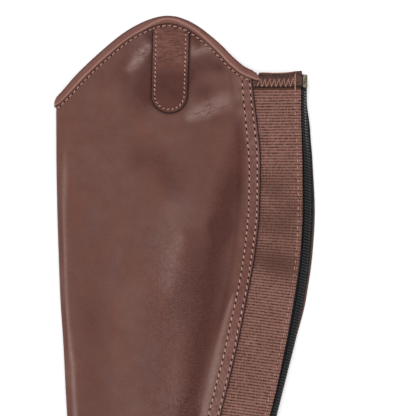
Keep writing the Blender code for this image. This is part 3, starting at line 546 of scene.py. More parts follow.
# From the cut edge to its two rows of stitches, by height.
SEAM_ROW_1 = {0: 8.6, 172: 8.9, 201: 8.4, 215: 8.6, 244: 7.8, 272: 8.25, 330: 8.2, 344: 8.65, 358: 8.55,
              369: 8.15, 391: 7.45}
SEAM_ROW_2 = {0: 2.2, 187: 2.1, 201: 1.85, 215: 2.35, 244: 1.95, 265: 2.6, 301: 2.3, 344: 2.65, 380: 2.45,
              391: 2.1}
SEAM_PITCH = {0: 4.6, 237: 4.6, 270: 4.3, 300: 4.25, 330: 4.6, 358: 4.9, 400: 4.9}
seam_pitch = curve_through(SEAM_PITCH)
# How far the binding reaches down from the top edge, by distance round from the shin.
BINDING_LEG = {-14.0: 4.7, -4.0: 3.0, 0.0: 2.5, 2.0: 3.0, 3.85: 3.35, 8.65: 3.9, 12.0: 4.2, 17.15: 4.65,
               24.0: 4.7}
ROW_PAST_BINDING = 1.3  # from there to the row of stitches beside it
# How far into the strip the light catches it, by distance round from the shin.
BINDING_SHINE = {0: 3.7, 60: 3.7, 72: 2.0, 80: 1.1, 92: 1.8, 105: 2.4, 118: 3.4, 146: 3.7}
EDGE_ROUND = 0.9        # width over which a cut edge is rounded down
seam_row_1 = curve_through(SEAM_ROW_1)
seam_row_2 = curve_through(SEAM_ROW_2)
binding_leg = curve_through(BINDING_LEG)
binding_shine = curve_through(BINDING_SHINE)


def soft_relief(w, h):
    """How far the creases and swells move the whole thickness of the leather out of its plain form."""
    x = field_x(w, h)
    below_binding = ease(below_top_edge(w, h) / 9.0 - 0.5)
    outer = (summed(x, h, CREASES) * (0.8 + 0.3 * lumps(x, h, 31.0))
             + 0.10 * lumps(x, h, 46.0) + 0.05 * lumps(x + 9.0, h, 17.0))
    outer_plain = ease((from_cut_edge(w, h) - CLIMBED_AT) / 5.0) * ease((w - FOLD_ARC) / 9.0) * below_binding
    inner = summed(x, h, INNER_CREASES) - 0.06 + 0.06 * lumps(x, h, 40.0)
    inner_plain = ease((-w - FOLD_ARC) / 12.0) * ease((inner_bend(h)[0] - x) / 8.0) * below_binding
    return np.where(w > 0.0, outer * outer_plain, inner * inner_plain)


def sewn_relief(w, h):
    """How far sewing and rounded edges move the outer face alone."""
    inset = from_cut_edge(w, h)
    rows = seam_row_1(h), seam_row_2(h)
    total = 0.14 * bell(inset - sum(rows) / 2, 1.9)
    for row in rows:
        total = total - 0.24 * bell(inset - row, 0.75)
    total = total - 0.22 * bell(below_top_edge(w, h) - binding_leg(w) - ROW_PAST_BINDING, 0.8)
    return total - 0.9 * (1.0 - ease(inset / EDGE_ROUND))


def tone_and_painted_light(w, h):
    """Painted highlights and shade on the leather, with some tone: lighter and greyer than the plain leather
    above 0, darker and redder below.
    """
    x, inset = field_x(w, h), from_cut_edge(w, h)
    # painted highlights and shade along the table's lines, and some random tone
    outer = summed(x, h, SHEEN_SHADE_AND_TONES) + 0.05 * lumps(x, h, 58.0) + 0.04 * lumps(x, h + 20.0, 15.0)
    # a painted highlight along the line that shines beside the fold
    from_shin, at = x - shin_x(h), shin_shine_at(h)
    shine = bell(from_shin - at, SHIN_SHINE_WIDTH)
    strength = 0.58 + 0.22 * ease((SHIN_SHINE_GROWS_BELOW - h) / 80.0)
    outer = outer + shine * strength * ease((SHIN_SHINE_TOP - h) / 30.0)
    # painted shade on the fold itself
    outer = outer - 0.85 * bell(from_shin - 0.25 * at, 0.38 * at) * ease((FOLD_SHADE_TOP - h) / 20.0)
    # a painted shadow round the tab
    outer = outer - 0.8 * bell(np.clip(-inside_tab(w, h), -0.5, None), 1.1)
    # the strip between the cut edge and the inner row of stitches has painted light and shade of its own,
    # and some tone
    outer = outer * ease((inset - 8.0) / 3.6)
    outer = outer + seam_strip_light_and_shade(h) * (1.0 - ease((inset - 8.5) / 3.0))
    outer = outer + 0.2 * lumps(x, h, 12.0) * (1.0 - ease((inset - 10.0) / 4.0))
    inner = 0.12 * lumps(x, h, 71.0) + 0.06 * lumps(x, h, 23.0)
    return np.where(w > FOLD_ARC, outer, inner)


def skin_point(w, h, n):
    """A point of the leather as it looks: n out from its middle, on top of its relief."""
    return leather_point(w, h, n + soft_relief(w, h) + sewn_relief(w, h))


# ---- meshes ----

def world(points):
    """x, height above the hem and z in mm, to metres in the model's frame."""
    return (np.asarray(points, float) - np.array((MIDDLE_X, LENGTH / 2, 0.0))) * MM


def linked(name, data):
    """A new object in the scene."""
    thing = bpy.data.objects.new(name, data)
    bpy.context.scene.collection.objects.link(thing)
    return thing


def new_piece(name, points, faces, finishes, values, index=None):
    """A piece of the gaiter from points in mm and faces, with its finishes and its values at the points."""
    mesh = bpy.data.meshes.new(name)
    mesh.from_pydata(world(points).tolist(), [], faces)
    for finish in finishes:
        mesh.materials.append(finish)
    if index is not None:
        mesh.polygons.foreach_set("material_index", np.asarray(index, np.int32))
    for key, value in values.items():
        layer = mesh.attributes.new(key, "FLOAT", "POINT")
        layer.data.foreach_set("value", np.asarray(value, np.float32).ravel())
    outward = bmesh.new()
    outward.from_mesh(mesh)
    bmesh.ops.recalc_face_normals(outward, faces=outward.faces)
    outward.to_mesh(mesh)
    outward.free()
    mesh.shade_smooth()
    thing = linked(name, mesh)
    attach(thing, "gaiter")
    return thing


def grid_faces(corners):
    """The quads of a grid of point numbers."""
    return np.stack((corners[:-1, :-1], corners[:-1, 1:], corners[1:, 1:], corners[1:, :-1]),
                    axis=-1).reshape(-1, 4).tolist()


def shell(name, outside, inside, finishes, values=None, sharp=40.0):
    """A closed thin shell: a fine grid outside, a coarser one inside, and a rim between them.
    The finishes are for the outside, the inside, the rim and the rim's last side, or one for all."""
    front = np.arange(outside[..., 0].size).reshape(outside.shape[:2])
    back = front.size + np.arange(inside[..., 0].size).reshape(inside.shape[:2])
    faces = grid_faces(front)
    outside_count = len(faces)
    faces += grid_faces(back)
    rim_start = len(faces)
    for near, far in ((front[0], back[0]), (front[-1], back[-1]), (front[:, 0], back[:, 0]),
                      (front[:, -1], back[:, -1])):
        step = (len(near) - 1) // (len(far) - 1)
        for k in range(len(far) - 1):
            faces.append([*near[k * step:(k + 1) * step + 1].tolist(), int(far[k + 1]), int(far[k])])
    index = np.zeros(len(faces), int)
    if len(finishes) > 1:
        index[outside_count:rim_start] = 1
        index[rim_start:] = 2
        index[len(faces) - (len(back) - 1):] = len(finishes) - 1
    values = {key: np.concatenate((np.broadcast_to(value, front.shape).ravel(), np.zeros(back.size)))
              for key, value in (values or {}).items()}
    points = np.concatenate((outside.reshape(-1, 3), inside.reshape(-1, 3)))
    thing = new_piece(name, points, faces, finishes, values, index)
    thing.data.set_sharp_from_angle(angle=math.radians(sharp))
    return thing


def tube_faces(rings, count, start=0):
    """Faces along rings of so many points each, with both ends closed."""
    faces = []
    for low in range(start, start + (rings - 1) * count, count):
        for j in range(count):
            k = (j + 1) % count
            faces.append((low + j, low + k, low + count + k, low + count + j))
    faces.append(tuple(start + j for j in reversed(range(count))))
    faces.append(tuple(start + (rings - 1) * count + j for j in range(count)))
    return faces


def frames_along(points, normals):
    """Unit vectors along a line of points, across it and out of the surface."""
    along = np.gradient(points, axis=0)
    along /= np.linalg.norm(along, axis=1)[:, None]
    across = np.cross(normals, along)
    across /= np.linalg.norm(across, axis=1)[:, None]
    out = np.cross(along, across)
    return along, across, out


def tube(points, normals, radius, flat=1.0, count=8):
    """Rings of a thread or cord along points; flat squeezes it against the surface."""
    _, across, out = frames_along(points, normals)
    angles = np.arange(count) * 2.0 * math.pi / count
    radius = np.broadcast_to(radius, (len(points),))
    return (points[:, None, :] + radius[:, None, None] * (np.cos(angles)[None, :, None] * across[:, None, :]
            + flat * np.sin(angles)[None, :, None] * out[:, None, :]))


class Threads:
    """Collects many short lengths of thread into one piece."""

    def __init__(self):
        self.points, self.faces, self.shade, self.size = [], [], [], 0

    def add(self, rings, shade=0.0):
        rings_count, count = rings.shape[:2]
        self.faces += tube_faces(rings_count, count, start=self.size)
        self.points.append(rings.reshape(-1, 3))
        self.shade.append(np.broadcast_to(shade, (rings_count * count,)))
        self.size += rings_count * count

    def make(self, name, finish, slot):
        return new_piece(name, np.concatenate(self.points), self.faces, (finish,),
                         {"shade": np.concatenate(self.shade)})


def surface_line(place, u, v, out_sign=1.0):
    """Points and unit normals along a line u, v of a surface place(u, v)."""
    step = 0.05
    here = place(u, v)
    du = place(u + step, v) - place(u - step, v)
    dv = place(u, v + step) - place(u, v - step)
    normal = np.cross(du, dv)
    normal /= np.linalg.norm(normal, axis=1)[:, None]
    return here, normal * out_sign


# A stitch hole's rings: how far each stands out of the surface, and its share of the full size.
HOLE_RINGS = ((-0.25, 0.5), (0.05, 1.0), (0.09, 0.6))


def sew(threads, holes, line, stitch, rng, slant=0.10, lift=0.10, pitch_at=None):
    """Stitches along a line of points and normals, each dipping into a hole at both ends, where a dark disc
    stands for the painted shade in it. A stitch has its pitch, length and radius; pitch_at gives the pitch
    by height where it isn't the same all along."""
    points, normals = line
    pitch, length, radius = stitch
    steps = np.linalg.norm(np.diff(points, axis=0), axis=1)
    distance = np.concatenate(((0.0,), np.cumsum(steps)))
    pitches = np.full(len(points), pitch) if pitch_at is None else pitch_at(points[:, 1])
    turns = np.concatenate(((0.0,), np.cumsum(steps * 2.0 / (pitches[1:] + pitches[:-1]))))
    count = int(turns[-1] - length / pitch)

    def at(d):
        """Points, normals and unit vectors along, across and out, at distances d."""
        here = np.stack([np.interp(d, distance, column) for column in (*points.T, *normals.T)], axis=-1)
        return here[:, :3], here[:, 3:], *frames_along(here[:, :3], here[:, 3:])

    t = np.linspace(-1.0, 1.0, 9)
    angles = np.arange(8) * math.pi / 4
    for k in range(count + 1):
        place = k + 0.5 * (turns[-1] - count)
        middle = np.interp(place, turns, distance) + rng.normal(0.0, 0.05)
        pitch = np.interp(place, turns, pitches)
        centre, normal, _, across, out = at(middle + t * length / 2)
        bow = lift + 0.30 * radius - (0.55 * radius + lift) * np.abs(t) ** 3.0
        lean = slant * length * t * rng.uniform(0.7, 1.3)
        centre = centre + out * bow[:, None] + across * lean[:, None]
        width = radius * rng.uniform(0.92, 1.1) * np.sqrt(np.clip(1.03 - np.abs(t) ** 3.5, 0.05, None))
        threads.add(tube(centre, normal, width, 0.75), rng.uniform(-1.0, 1.0))
        end = middle + pitch / 2
        if holes is not None and end <= distance[-1]:
            centre, _, along, across, out = (value[1] for value in at(end + np.array((-0.1, 0.0, 0.1))))
            holes.add(np.array([
                centre + (0.5 * (pitch - length) + 0.05) * size * np.cos(angles)[:, None] * along
                + radius * 1.35 * size * np.sin(angles)[:, None] * across + level * out
                for level, size in HOLE_RINGS]))


# ---- finishes ----

def srgb(red, green, blue):
    """A colour given in the usual 0 to 255 values, as the shader wants it."""
    def linear(value):
        value /= 255.0
        return value / 12.92 if value <= 0.04045 else ((value + 0.055) / 1.055) ** 2.4
    return (linear(red), linear(green), linear(blue), 1.0)


class Finish:
    """A node material being put together."""

    def __init__(self, name, roughness=0.5, metallic=0.0, specular=0.5):
        self.material = bpy.data.materials.new(name)
        self.material.use_nodes = True
        self.tree = self.material.node_tree
        self.shader = self.tree.nodes["Principled BSDF"]
        self.shader.inputs["Roughness"].default_value = roughness
        self.shader.inputs["Metallic"].default_value = metallic
        self.shader.inputs["Specular IOR Level"].default_value = specular
        self.place = self.node("TexCoord", {}, "Object")
        self.bumped = None

    def put(self, socket, value):
        """Sets a socket to a value or links it to another node's output."""
        if isinstance(value, (int, float, tuple)):
            socket.default_value = value
        else:
            self.tree.links.new(value, socket)

    def node(self, kind, inputs, output, **settings):
        """Adds a node and gives back one of its outputs."""
        node = self.tree.nodes.new("ShaderNode" + kind)
        for key, value in settings.items():
            setattr(node, key, value)
        for key, value in inputs.items():
            self.put(node.inputs[key], value)
        return node.outputs[output]

    def scaled(self, x, y, z, turn=0.0):
        """The piece's own coordinates times x, y and z, along axes turned by so many degrees from them."""
        if not turn:
            return self.node("Mapping", {"Vector": self.place, "Scale": (x, y, z)}, "Vector")
        inputs = {"Vector": self.place, "Rotation": (0.0, 0.0, math.radians(turn)),
                  "Scale": (1.0 / x, 1.0 / y, 1.0 / z)}
        return self.node("Mapping", inputs, "Vector", vector_type="TEXTURE")

    def noise(self, scale, detail=2.0, roughness=0.5, vector=None, distortion=0.0):
        return self.node("TexNoise", {"Vector": vector or self.place, "Scale": scale, "Detail": detail,
                                      "Roughness": roughness, "Distortion": distortion}, "Fac")

    def stretched(self, x, y, z, detail, roughness, distortion=0.0, turn=0.0):
        """Noise with x, y and z features a metre along its axes."""
        return self.noise(1.0, detail, roughness, self.scaled(x, y, z, turn), distortion)

    def cells(self, scale, vector):
        return self.node("TexVoronoi", {"Vector": vector, "Scale": scale}, "Distance")

    def waves(self, vector, distortion):
        return self.node("TexWave", {"Vector": vector, "Scale": 1.0 / math.pi, "Distortion": distortion,
                                     "Detail": 1.0}, "Fac")

    def value(self, name):
        """One of the values that a piece has at its points."""
        return self.node("Attribute", {}, "Fac", attribute_name=name)

    def math(self, operation, a, b, clamp=False):
        return self.node("Math", {0: a, 1: b}, 0, operation=operation, use_clamp=clamp)

    def times(self, a, b, clamp=False):
        return self.math("MULTIPLY", a, b, clamp)

    def plus(self, a, b):
        return self.math("ADD", a, b)

    def spread(self, value, low, high, out_low=0.0, out_high=1.0):
        """Goes smoothly from out_low to out_high where the value goes from low to high."""
        return self.node("MapRange", {"Value": value, "From Min": low, "From Max": high, "To Min": out_low,
                                      "To Max": out_high}, "Result", interpolation_type="SMOOTHSTEP")

    def mix(self, factor, a, b):
        return self.node("Mix", {"Factor": factor, 6: a, 7: b}, 2, data_type="RGBA")

    def colour(self, value):
        self.put(self.shader.inputs["Base Color"], value)

    def rough(self, value):
        self.put(self.shader.inputs["Roughness"], value)

    def bump(self, height, distance, strength):
        """Raises the surface by height times distance, in mm."""
        inputs = {"Distance": distance * MM, "Strength": strength, "Height": height}
        if self.bumped is not None:
            inputs["Normal"] = self.bumped
        self.bumped = self.node("Bump", inputs, "Normal")
        self.put(self.shader.inputs["Normal"], self.bumped)


def leather_finish(name, base, dark, light, grain=1.0, roughness=0.48, specular=0.20, streaks_at=26.0):
    """Fine-grained leather whose painted highlights and shade, and its tone, follow the piece's own values.
    Its wrinkles run streaks_at degrees up from the x axis."""
    f = Finish(name, roughness, 0.0, specular)
    grainy, wrinkled, warm = f.value("grain"), f.value("wrinkle"), f.value("warm")
    darker = f.times(f.value("tone_and_painted_light"), -1.0, clamp=True)
    lighter = f.times(f.value("tone_and_painted_light"), 1.0, clamp=True)

    # the hide's own drift in colour, then the painted shade and the painted greyish sheen, streaked where
    # wrinkled, then the warm strip
    drift = f.stretched(52.0, 26.0, 40.0, 3.0, 0.6, 0.4)
    colour = f.mix(f.spread(drift, 0.50, 0.66, 0.0, 0.30), base, srgb(108, 60, 45))
    colour = f.mix(f.spread(drift, 0.34, 0.50, 0.28, 0.0), colour, srgb(98, 70, 68))
    colour = f.mix(darker, colour, dark)
    streaks = f.spread(f.stretched(170.0, 980.0, 500.0, 3.0, 0.6, 0.25, streaks_at), 0.38, 0.62, -0.5, 0.5)
    streaky_sheen = f.plus(f.times(streaks, f.plus(f.times(wrinkled, 1.5), 0.25)), 1.0)
    colour = f.mix(f.times(lighter, streaky_sheen, clamp=True), colour, light)
    colour = f.mix(warm, colour, srgb(128, 84, 74))

    # clouds, mottling, wrinkles with painted shade in their creases, grain and the painted edge
    cloudy = f.spread(f.noise(110.0, 4.0, 0.65), 0.36, 0.66)
    colour = f.mix(f.times(cloudy, 0.11), colour, dark)
    mottled = f.spread(f.stretched(640.0, 300.0, 300.0, 3.0, 0.6, 0.5), 0.40, 0.60)
    uneven = f.plus(f.plus(f.times(warm, 1.1), f.times(lighter, 0.12)), f.times(grainy, 0.36))
    colour = f.mix(f.times(mottled, uneven, clamp=True), colour, dark)
    crease_shade = f.spread(f.stretched(210.0, 760.0, 300.0, 4.0, 0.6, 0.9, streaks_at), 0.47, 0.60)
    colour = f.mix(f.times(crease_shade, wrinkled, clamp=True), colour, dark)
    fine = f.spread(f.noise(850.0, 3.0, 0.65), 0.40, 0.66)
    colour = f.mix(f.times(fine, f.plus(f.times(grainy, 0.16), 0.07)), colour, light)
    f.colour(f.mix(f.value("edge"), colour, srgb(22, 15, 16)))

    pebbles = f.cells(900.0, f.scaled(1.0, 0.8, 1.0))
    pebbled = f.plus(f.spread(f.noise(60.0, 2.0), 0.35, 0.65, 0.35, 1.0), grainy)
    f.bump(f.times(pebbles, pebbled), 0.10 * grain, 0.7)
    wrinkles = f.stretched(160.0, 620.0, 300.0, 3.0, 0.55, 0.8, streaks_at)
    f.bump(f.times(wrinkles, f.plus(wrinkled, 0.12)), 0.30, 0.8)
    f.rough(f.spread(f.noise(140.0, 3.0), 0.3, 0.7, roughness - 0.06, roughness + 0.08))
    return f.material


def mottled_finish(name, look, noise, dark, light, bump_noise=None, bump=()):
    """A plain finish that wavers between two colours. The look is its roughness, metal and shine."""
    f = Finish(name, *look)
    f.colour(f.mix(f.noise(*noise), dark, light))
    if bump_noise:
        f.bump(f.noise(*bump_noise), *bump)
    return f.material


def elastic_finish():
    """Ribs show by the mesh and by painted shade, dark in their valleys; their yarns are short dashes along
    them, painted a little lighter on top.
    """
    f = Finish("ribbed_elastic", 0.8, 0.0, 0.2)
    f.shader.inputs["Sheen Weight"].default_value = 0.15
    hatch = f.times(f.waves(f.scaled(430.0, 330.0, 0.0), 4.5), f.spread(f.noise(75.0, 2.0), 0.30, 0.56))
    dashes = f.spread(f.stretched(900.0, 520.0, 300.0, 3.0, 0.65), 0.34, 0.66)
    colour = f.mix(f.spread(f.value("crest"), 0.24, 0.88), srgb(36, 12, 9), srgb(137, 92, 81))
    colour = f.mix(f.times(dashes, 0.38), colour, srgb(176, 132, 119))
    colour = f.mix(f.times(hatch, 0.20), colour, srgb(66, 33, 28))
    f.colour(f.mix(f.times(f.value("tone_and_painted_light"), 1.0, clamp=True), colour, srgb(76, 47, 37)))
    f.bump(f.math("SUBTRACT", dashes, hatch), 0.14, 0.8)
    f.bump(f.noise(2600.0, 2.0), 0.06, 0.6)
    return f.material


def woven_finish(name, dark, light, across=1600.0, up=1900.0, rough=0.85):
    """Cloth with so many yarns a metre across it and up it."""
    f = Finish(name, rough, 0.0, 0.25)
    weave = f.cells(1.0, f.scaled(across, up, up))
    colour = f.mix(f.spread(weave, 0.15, 0.75), light, dark)
    # darkens where the piece's values paint shade on it
    f.colour(f.mix(f.times(f.value("tone_and_painted_light"), 1.0, clamp=True), colour, srgb(14, 7, 6)))
    f.bump(weave, -0.12, 0.8)
    return f.material


def coil_finish():
    """Black nylon, pale where the piece's shade says that light catches the coils' heads."""
    f = Finish("nylon_coil", 0.38, 0.0, 0.4)
    colour = f.mix(f.noise(700.0, 2.0), srgb(10, 10, 12), srgb(28, 28, 31))
    f.colour(f.mix(f.times(f.value("shade"), 1.0, clamp=True), colour, srgb(172, 172, 176)))
    f.bump(f.noise(2400.0, 2.0), 0.03, 0.5)
    return f.material


def thread_finish(name, dark, light):
    """Twisted thread, lighter along its top."""
    f = Finish(name, 0.6, 0.0, 0.3)
    f.shader.inputs["Sheen Weight"].default_value = 0.2
    strand = f.stretched(1500.0, 1500.0, 1500.0, 1.0, 0.5)
    colour = f.mix(f.spread(strand, 0.35, 0.65), dark, light)
    f.colour(f.mix(f.spread(f.value("shade"), -1.0, 1.0, 0.0, 0.25), colour, dark))
    f.bump(strand, 0.10, 0.8)
    return f.material


def brass_finish():
    f = Finish("aged_brass_metal", 0.36, 1.0, 0.5)
    worn = f.spread(f.noise(420.0, 4.0, 0.6), 0.35, 0.65)
    f.colour(f.mix(worn, srgb(84, 79, 64), srgb(150, 144, 124)))
    f.rough(f.spread(f.noise(900.0, 3.0), 0.3, 0.7, 0.28, 0.5))
    f.bump(f.noise(1300.0, 3.0), 0.02, 0.5)
    return f.material


# the dark and light colours below are those of the painted shade and the painted sheen
skin_leather = leather_finish("gaiter_leather", srgb(98, 62, 53), srgb(71, 31, 23), srgb(138, 110, 104))
tab_leather = leather_finish("tab_leather", srgb(92, 52, 42), srgb(71, 32, 23), srgb(116, 76, 66), 0.9,
                             streaks_at=4.0)
strip_leather = leather_finish("binding_leather", srgb(114, 71, 61), srgb(60, 27, 20), srgb(160, 117, 104),
                               0.6, 0.42, 0.25)
flesh = mottled_finish("flesh_side", (0.9, 0.0, 0.2), (900.0, 4.0, 0.7), srgb(92, 62, 52), srgb(128, 92, 78),
                       (2500.0, 3.0, 0.7), (0.15, 0.8))
edge_paint = mottled_finish("cut_edge", (0.6, 0.0, 0.3), (1200.0, 3.0), srgb(38, 26, 26), srgb(58, 42, 40),
                            (1800.0, 2.0), (0.08, 0.6))
raw_edge = mottled_finish("raw_edge", (0.7, 0.0, 0.3), (900.0, 3.0), srgb(70, 42, 34), srgb(104, 66, 54))
# near-black discs: painted shade in the stitch holes
hole_shade = mottled_finish("stitch_hole_shade", (1.0, 0.0, 0.0), (2000.0,), srgb(8, 3, 3), srgb(22, 10, 9))
elastic_cloth = elastic_finish()
band_cloth = woven_finish("dark_woven_band", srgb(54, 34, 29), srgb(114, 82, 72))
tape_cloth = woven_finish("zip_tape_weave", srgb(9, 9, 11), srgb(36, 37, 40), 1500.0, 900.0)
film_finish = woven_finish("tape_end_film", srgb(26, 32, 38), srgb(52, 62, 70), 700.0, 700.0, 0.4)
coil_nylon = coil_finish()
seam_thread = thread_finish("pale_thread", srgb(150, 108, 96), srgb(206, 170, 157))
trim_thread = thread_finish("trim_thread", srgb(134, 92, 82), srgb(194, 152, 138))
edge_thread = thread_finish("elastic_thread", srgb(144, 96, 82), srgb(206, 160, 138))
salmon_thread = thread_finish("salmon_thread", srgb(128, 80, 66), srgb(186, 134, 116))
aged_brass = brass_finish()


# ---- leather ----

def leather_columns(h):
    """Distances round from the shin for each height: cut edge, seam, field, fold, inner side, curl."""
    cut_edge = around(seam_x(h), h)[:, None]
    field_end = cut_edge - CLIMBED_AT - OVERLAP_RAMP
    edge = cut_edge - np.concatenate(((0.0, 0.12, 0.3, 0.55, 0.85), np.linspace(1.3, CLIMBED_AT, 22)))
    ramp = cut_edge - CLIMBED_AT - OVERLAP_RAMP * np.linspace(0.0, 1.0, 8)[1:]
    field = FOLD_ARC + (field_end - FOLD_ARC) * np.linspace(1.0, 0.0, 88)[1:]
    fold = np.broadcast_to(FOLD_ARC * np.linspace(1.0, -1.0, 15)[1:], (len(h), 14))
    turn = around(inner_bend(h)[0], h)[:, None]
    inner = -FOLD_ARC - (turn - FOLD_ARC) * np.linspace(0.0, 1.0, 55)[1:]
    radius = (bend_radius(h) + TAPE / 2 + GAP + LEATHER / 2)[:, None]
    curl = -turn - radius * np.radians(curl_degrees(h))[:, None] * np.linspace(0.0, 1.0, 5)[1:]
    return np.concatenate((edge, ramp, field, fold, inner, curl), axis=1)


LEVEL_ROWS_END = 330.0      # height up to which the rows are level; above it they bend up to the top edge
LEVEL_ROW_COUNT = 297
BENT_ROW_COUNT = 88


def leather_rows():
    """Distance round from the shin and height of the leather's rows and columns."""
    lower = np.linspace(0.0, LEVEL_ROWS_END, LEVEL_ROW_COUNT)
    column_count = leather_columns(np.array((STRAIGHT_SHIN_HEIGHT,))).shape[1]
    top = np.full(column_count, STRAIGHT_SHIN_HEIGHT)
    for _ in range(10):
        top = top_edge(np.diagonal(leather_columns(top)))
    steps = np.arange(1, BENT_ROW_COUNT + 1)[:, None]
    bent = LEVEL_ROWS_END + (top - LEVEL_ROWS_END) * steps / BENT_ROW_COUNT
    h = np.concatenate((np.broadcast_to(lower[:, None], (len(lower), column_count)), bent))
    w = np.concatenate((leather_columns(lower), [np.diagonal(leather_columns(row)) for row in bent]))
    return w, h


def make_leather():
    w, h = leather_rows()
    outside = skin_point(w, h, LEATHER / 2)
    back_w, back_h = w[::8, ::3], h[::8, ::3]
    inside = leather_point(back_w, back_h, soft_relief(back_w, back_h) - LEATHER / 2)
    x, inset, outer_side = field_x(w, h), from_cut_edge(w, h), w > 0.0
    # the values carry painted highlights and shade with some tone, and a dark cut edge that is edge paint
    # and the painted shadow where the leather steps down onto the elastic
    values = {"tone_and_painted_light": tone_and_painted_light(w, h),
              "edge": 1.0 - ease((inset - 0.4) / 0.8),
              "warm": 0.36 * (1.0 - ease((inset - 8.8) / 3.2)),
              "wrinkle": 0.62 * spots(x, h, WRINKLED) * outer_side,
              "grain": (spots(x, h, GRAINY_SPOTS) + summed(x, h, GRAINY_LINES)) * outer_side}
    finishes = (skin_leather, flesh, edge_paint, raw_edge)
    piece = shell("leather_skin", outside, inside, finishes, values)
    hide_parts("leather_panel")
    return piece


# ---- binding ----

BINDING_END_HEIGHT = 395.0      # height where the strip's end is measured
BOUND_SHARE = 0.868             # how much of the inner side's width is bound


def binding_profile():
    """The folded strip's rounded section, as in the model: into the leather, out from its middle, and 1 on
    the leg that goes under."""
    face = LEATHER / 2 + GAP
    back = face + TRIM
    leg, inner = BINDING_OUTER_LEG, BINDING_INNER_LEG
    return np.array((
        (leg, face, 0), (leg + 0.03, face + 0.35, 0), (leg - 0.15, back - 0.32, 0),
        (leg - 0.6, back - 0.02, 0), (leg - 1.05, back + 0.07, 0),
        (leg - 1.5, back + 0.12, 0), (leg - 2.05, back + 0.15, 0),
        (leg - 2.6, back + 0.16, 0), (1.55, back + 0.14, 0), (1.0, back + 0.10, 0), (0.1, back - 0.12, 0),
        (-0.55, back - 0.5, 0), (-1.0, 0.62 * back, 0), (-GAP - TRIM, 0.3 * face, 0),
        (-GAP - TRIM, -0.3 * face, 1), (-1.0, -0.62 * back, 1), (-0.5, 0.4 - back, 1), (0.3, -back, 1),
        (inner - 0.3, -back, 1), (inner, -face - 0.3, 1), (inner, -face, 1), (-GAP, -face, 1),
        (-GAP, face, 0)))


def binding_ends():
    """Where the strip starts, beyond the leather's cut edge, and ends, before the zip."""
    h = np.array((BINDING_END_HEIGHT,))
    return (float(around(seam_x(h), h)[0] + binding_end(h)[0]),
            -FOLD_ARC - float(around(inner_bend(h)[0], h)[0] - FOLD_ARC) * BOUND_SHARE)


def make_binding():
    start, end = binding_ends()
    stations = np.concatenate((start - np.array((0.0, 0.12, 0.35, 0.7)), np.linspace(start - 1.2, 24.0, 114),
                               np.linspace(23.2, FOLD_ARC, 26)[:-1],
                               np.linspace(FOLD_ARC, -FOLD_ARC, 17), np.linspace(-4.6, end, 96)))[:, None]
    into, out, under = binding_profile().T
    leg = BINDING_OUTER_LEG
    narrowed = np.clip(into / leg, 0.0, 1.0) * (binding_leg(stations) / leg - 1.0)
    h = top_edge(stations) - into * (1.0 + narrowed) * edge_stretch(stations)
    past = start - float(binding_end(BINDING_END_HEIGHT))
    beyond = np.clip((stations - past) / (start - past), 0.0, 1.0)
    w = stations + (around(seam_x(h), h) + binding_end(h) - start) * beyond
    sunk = np.where(w > FOLD_ARC, onto_elastic(field_x(w, h), h), 0.0) * (ELASTIC + RIB_RISE + GAP)
    tip = np.clip(1.0 - (start - stations) / 0.8, 0.0, 1.0) ** 2
    uneven = 0.07 * lumps(stations, into.mean(), 13.0)
    n = out - under * sunk - 0.45 * tip * (out > 1.2) + np.where((under == 0) & (out > 1.6), uneven, 0.0)
    rings = leather_point(w, h, n)
    rings[..., 2] = np.maximum(rings[..., 2], 0.0)
    # a painted highlight where the light catches the strip, and painted shade on its rolled edges and the
    # leg under it
    leg_place = np.where(under == 0, into, -5.0)
    shine = 0.95 * bell(leg_place - binding_shine(stations), 0.75)
    rolled_edge_shade = -0.65 * ease((0.1 - leg_place) / 0.7) - 0.75 * ease((leg_place - 4.2) / 0.4)
    values = {"tone_and_painted_light": 0.12 * lumps(stations, 0.0, 34.0) + shine + rolled_edge_shade - 0.1,
              "edge": np.broadcast_to(np.where(np.arange(len(into)) < 2, 0.5, 0.0), h.shape)}
    piece = new_piece("bound_edge", rings.reshape(-1, 3), tube_faces(*h.shape), (strip_leather,),
                      values)
    piece.data.set_sharp_from_angle(angle=math.radians(50))
    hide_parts("top_binding")
    return piece


# ---- tab ----

TAB_LENGTH = 66.0
TAB_LEAN_HEIGHT = 55.0      # height over which its middle moves from the lower centre to the upper one
TAB_ROW_IN = 2.8            # from its edge to its stitches
TAB_WRINKLES_START = 392.0  # height from which it is wrinkled
# Painted shade and sheen across the tab: height, half width and amount.
TAB_SHEEN_AND_SHADE = ((389.0, 16.0, -0.95), (413.0, 9.0, 0.95), (430.0, 9.0, 0.55))


def tab_middle(h):
    """Distance round from the shin of the tab's middle."""
    share = np.clip((h - TAB_BOTTOM - TAB_WIDTH / 2) / TAB_LEAN_HEIGHT, 0.0, 1.4)
    return TAB_BOTTOM_CENTRE + (TAB_TOP_CENTRE - TAB_BOTTOM_CENTRE) * share


def inside_tab(w, h):
    """Distance in from the tab's sides and its round end."""
    below = np.clip(TAB_BOTTOM + TAB_WIDTH / 2 - h, 0.0, None)
    return TAB_WIDTH / 2 - np.hypot(np.abs(w - tab_middle(h)), below)


def tab_place(across, up):
    """w and h of a place on the tab: across from -1 to 1, and up from its lower end, in mm."""
    half = TAB_WIDTH / 2
    rounded = np.sqrt(np.clip(1.0 - ((half - up) / half) ** 2, 0.0, 1.0))
    width = half * np.where(up < half, rounded, 1.0)
    return tab_middle(TAB_BOTTOM + up) + across * width, TAB_BOTTOM + up


def tab_top(w):
    return top_edge(w) - (BINDING_OUTER_LEG + GAP) * edge_stretch(w)


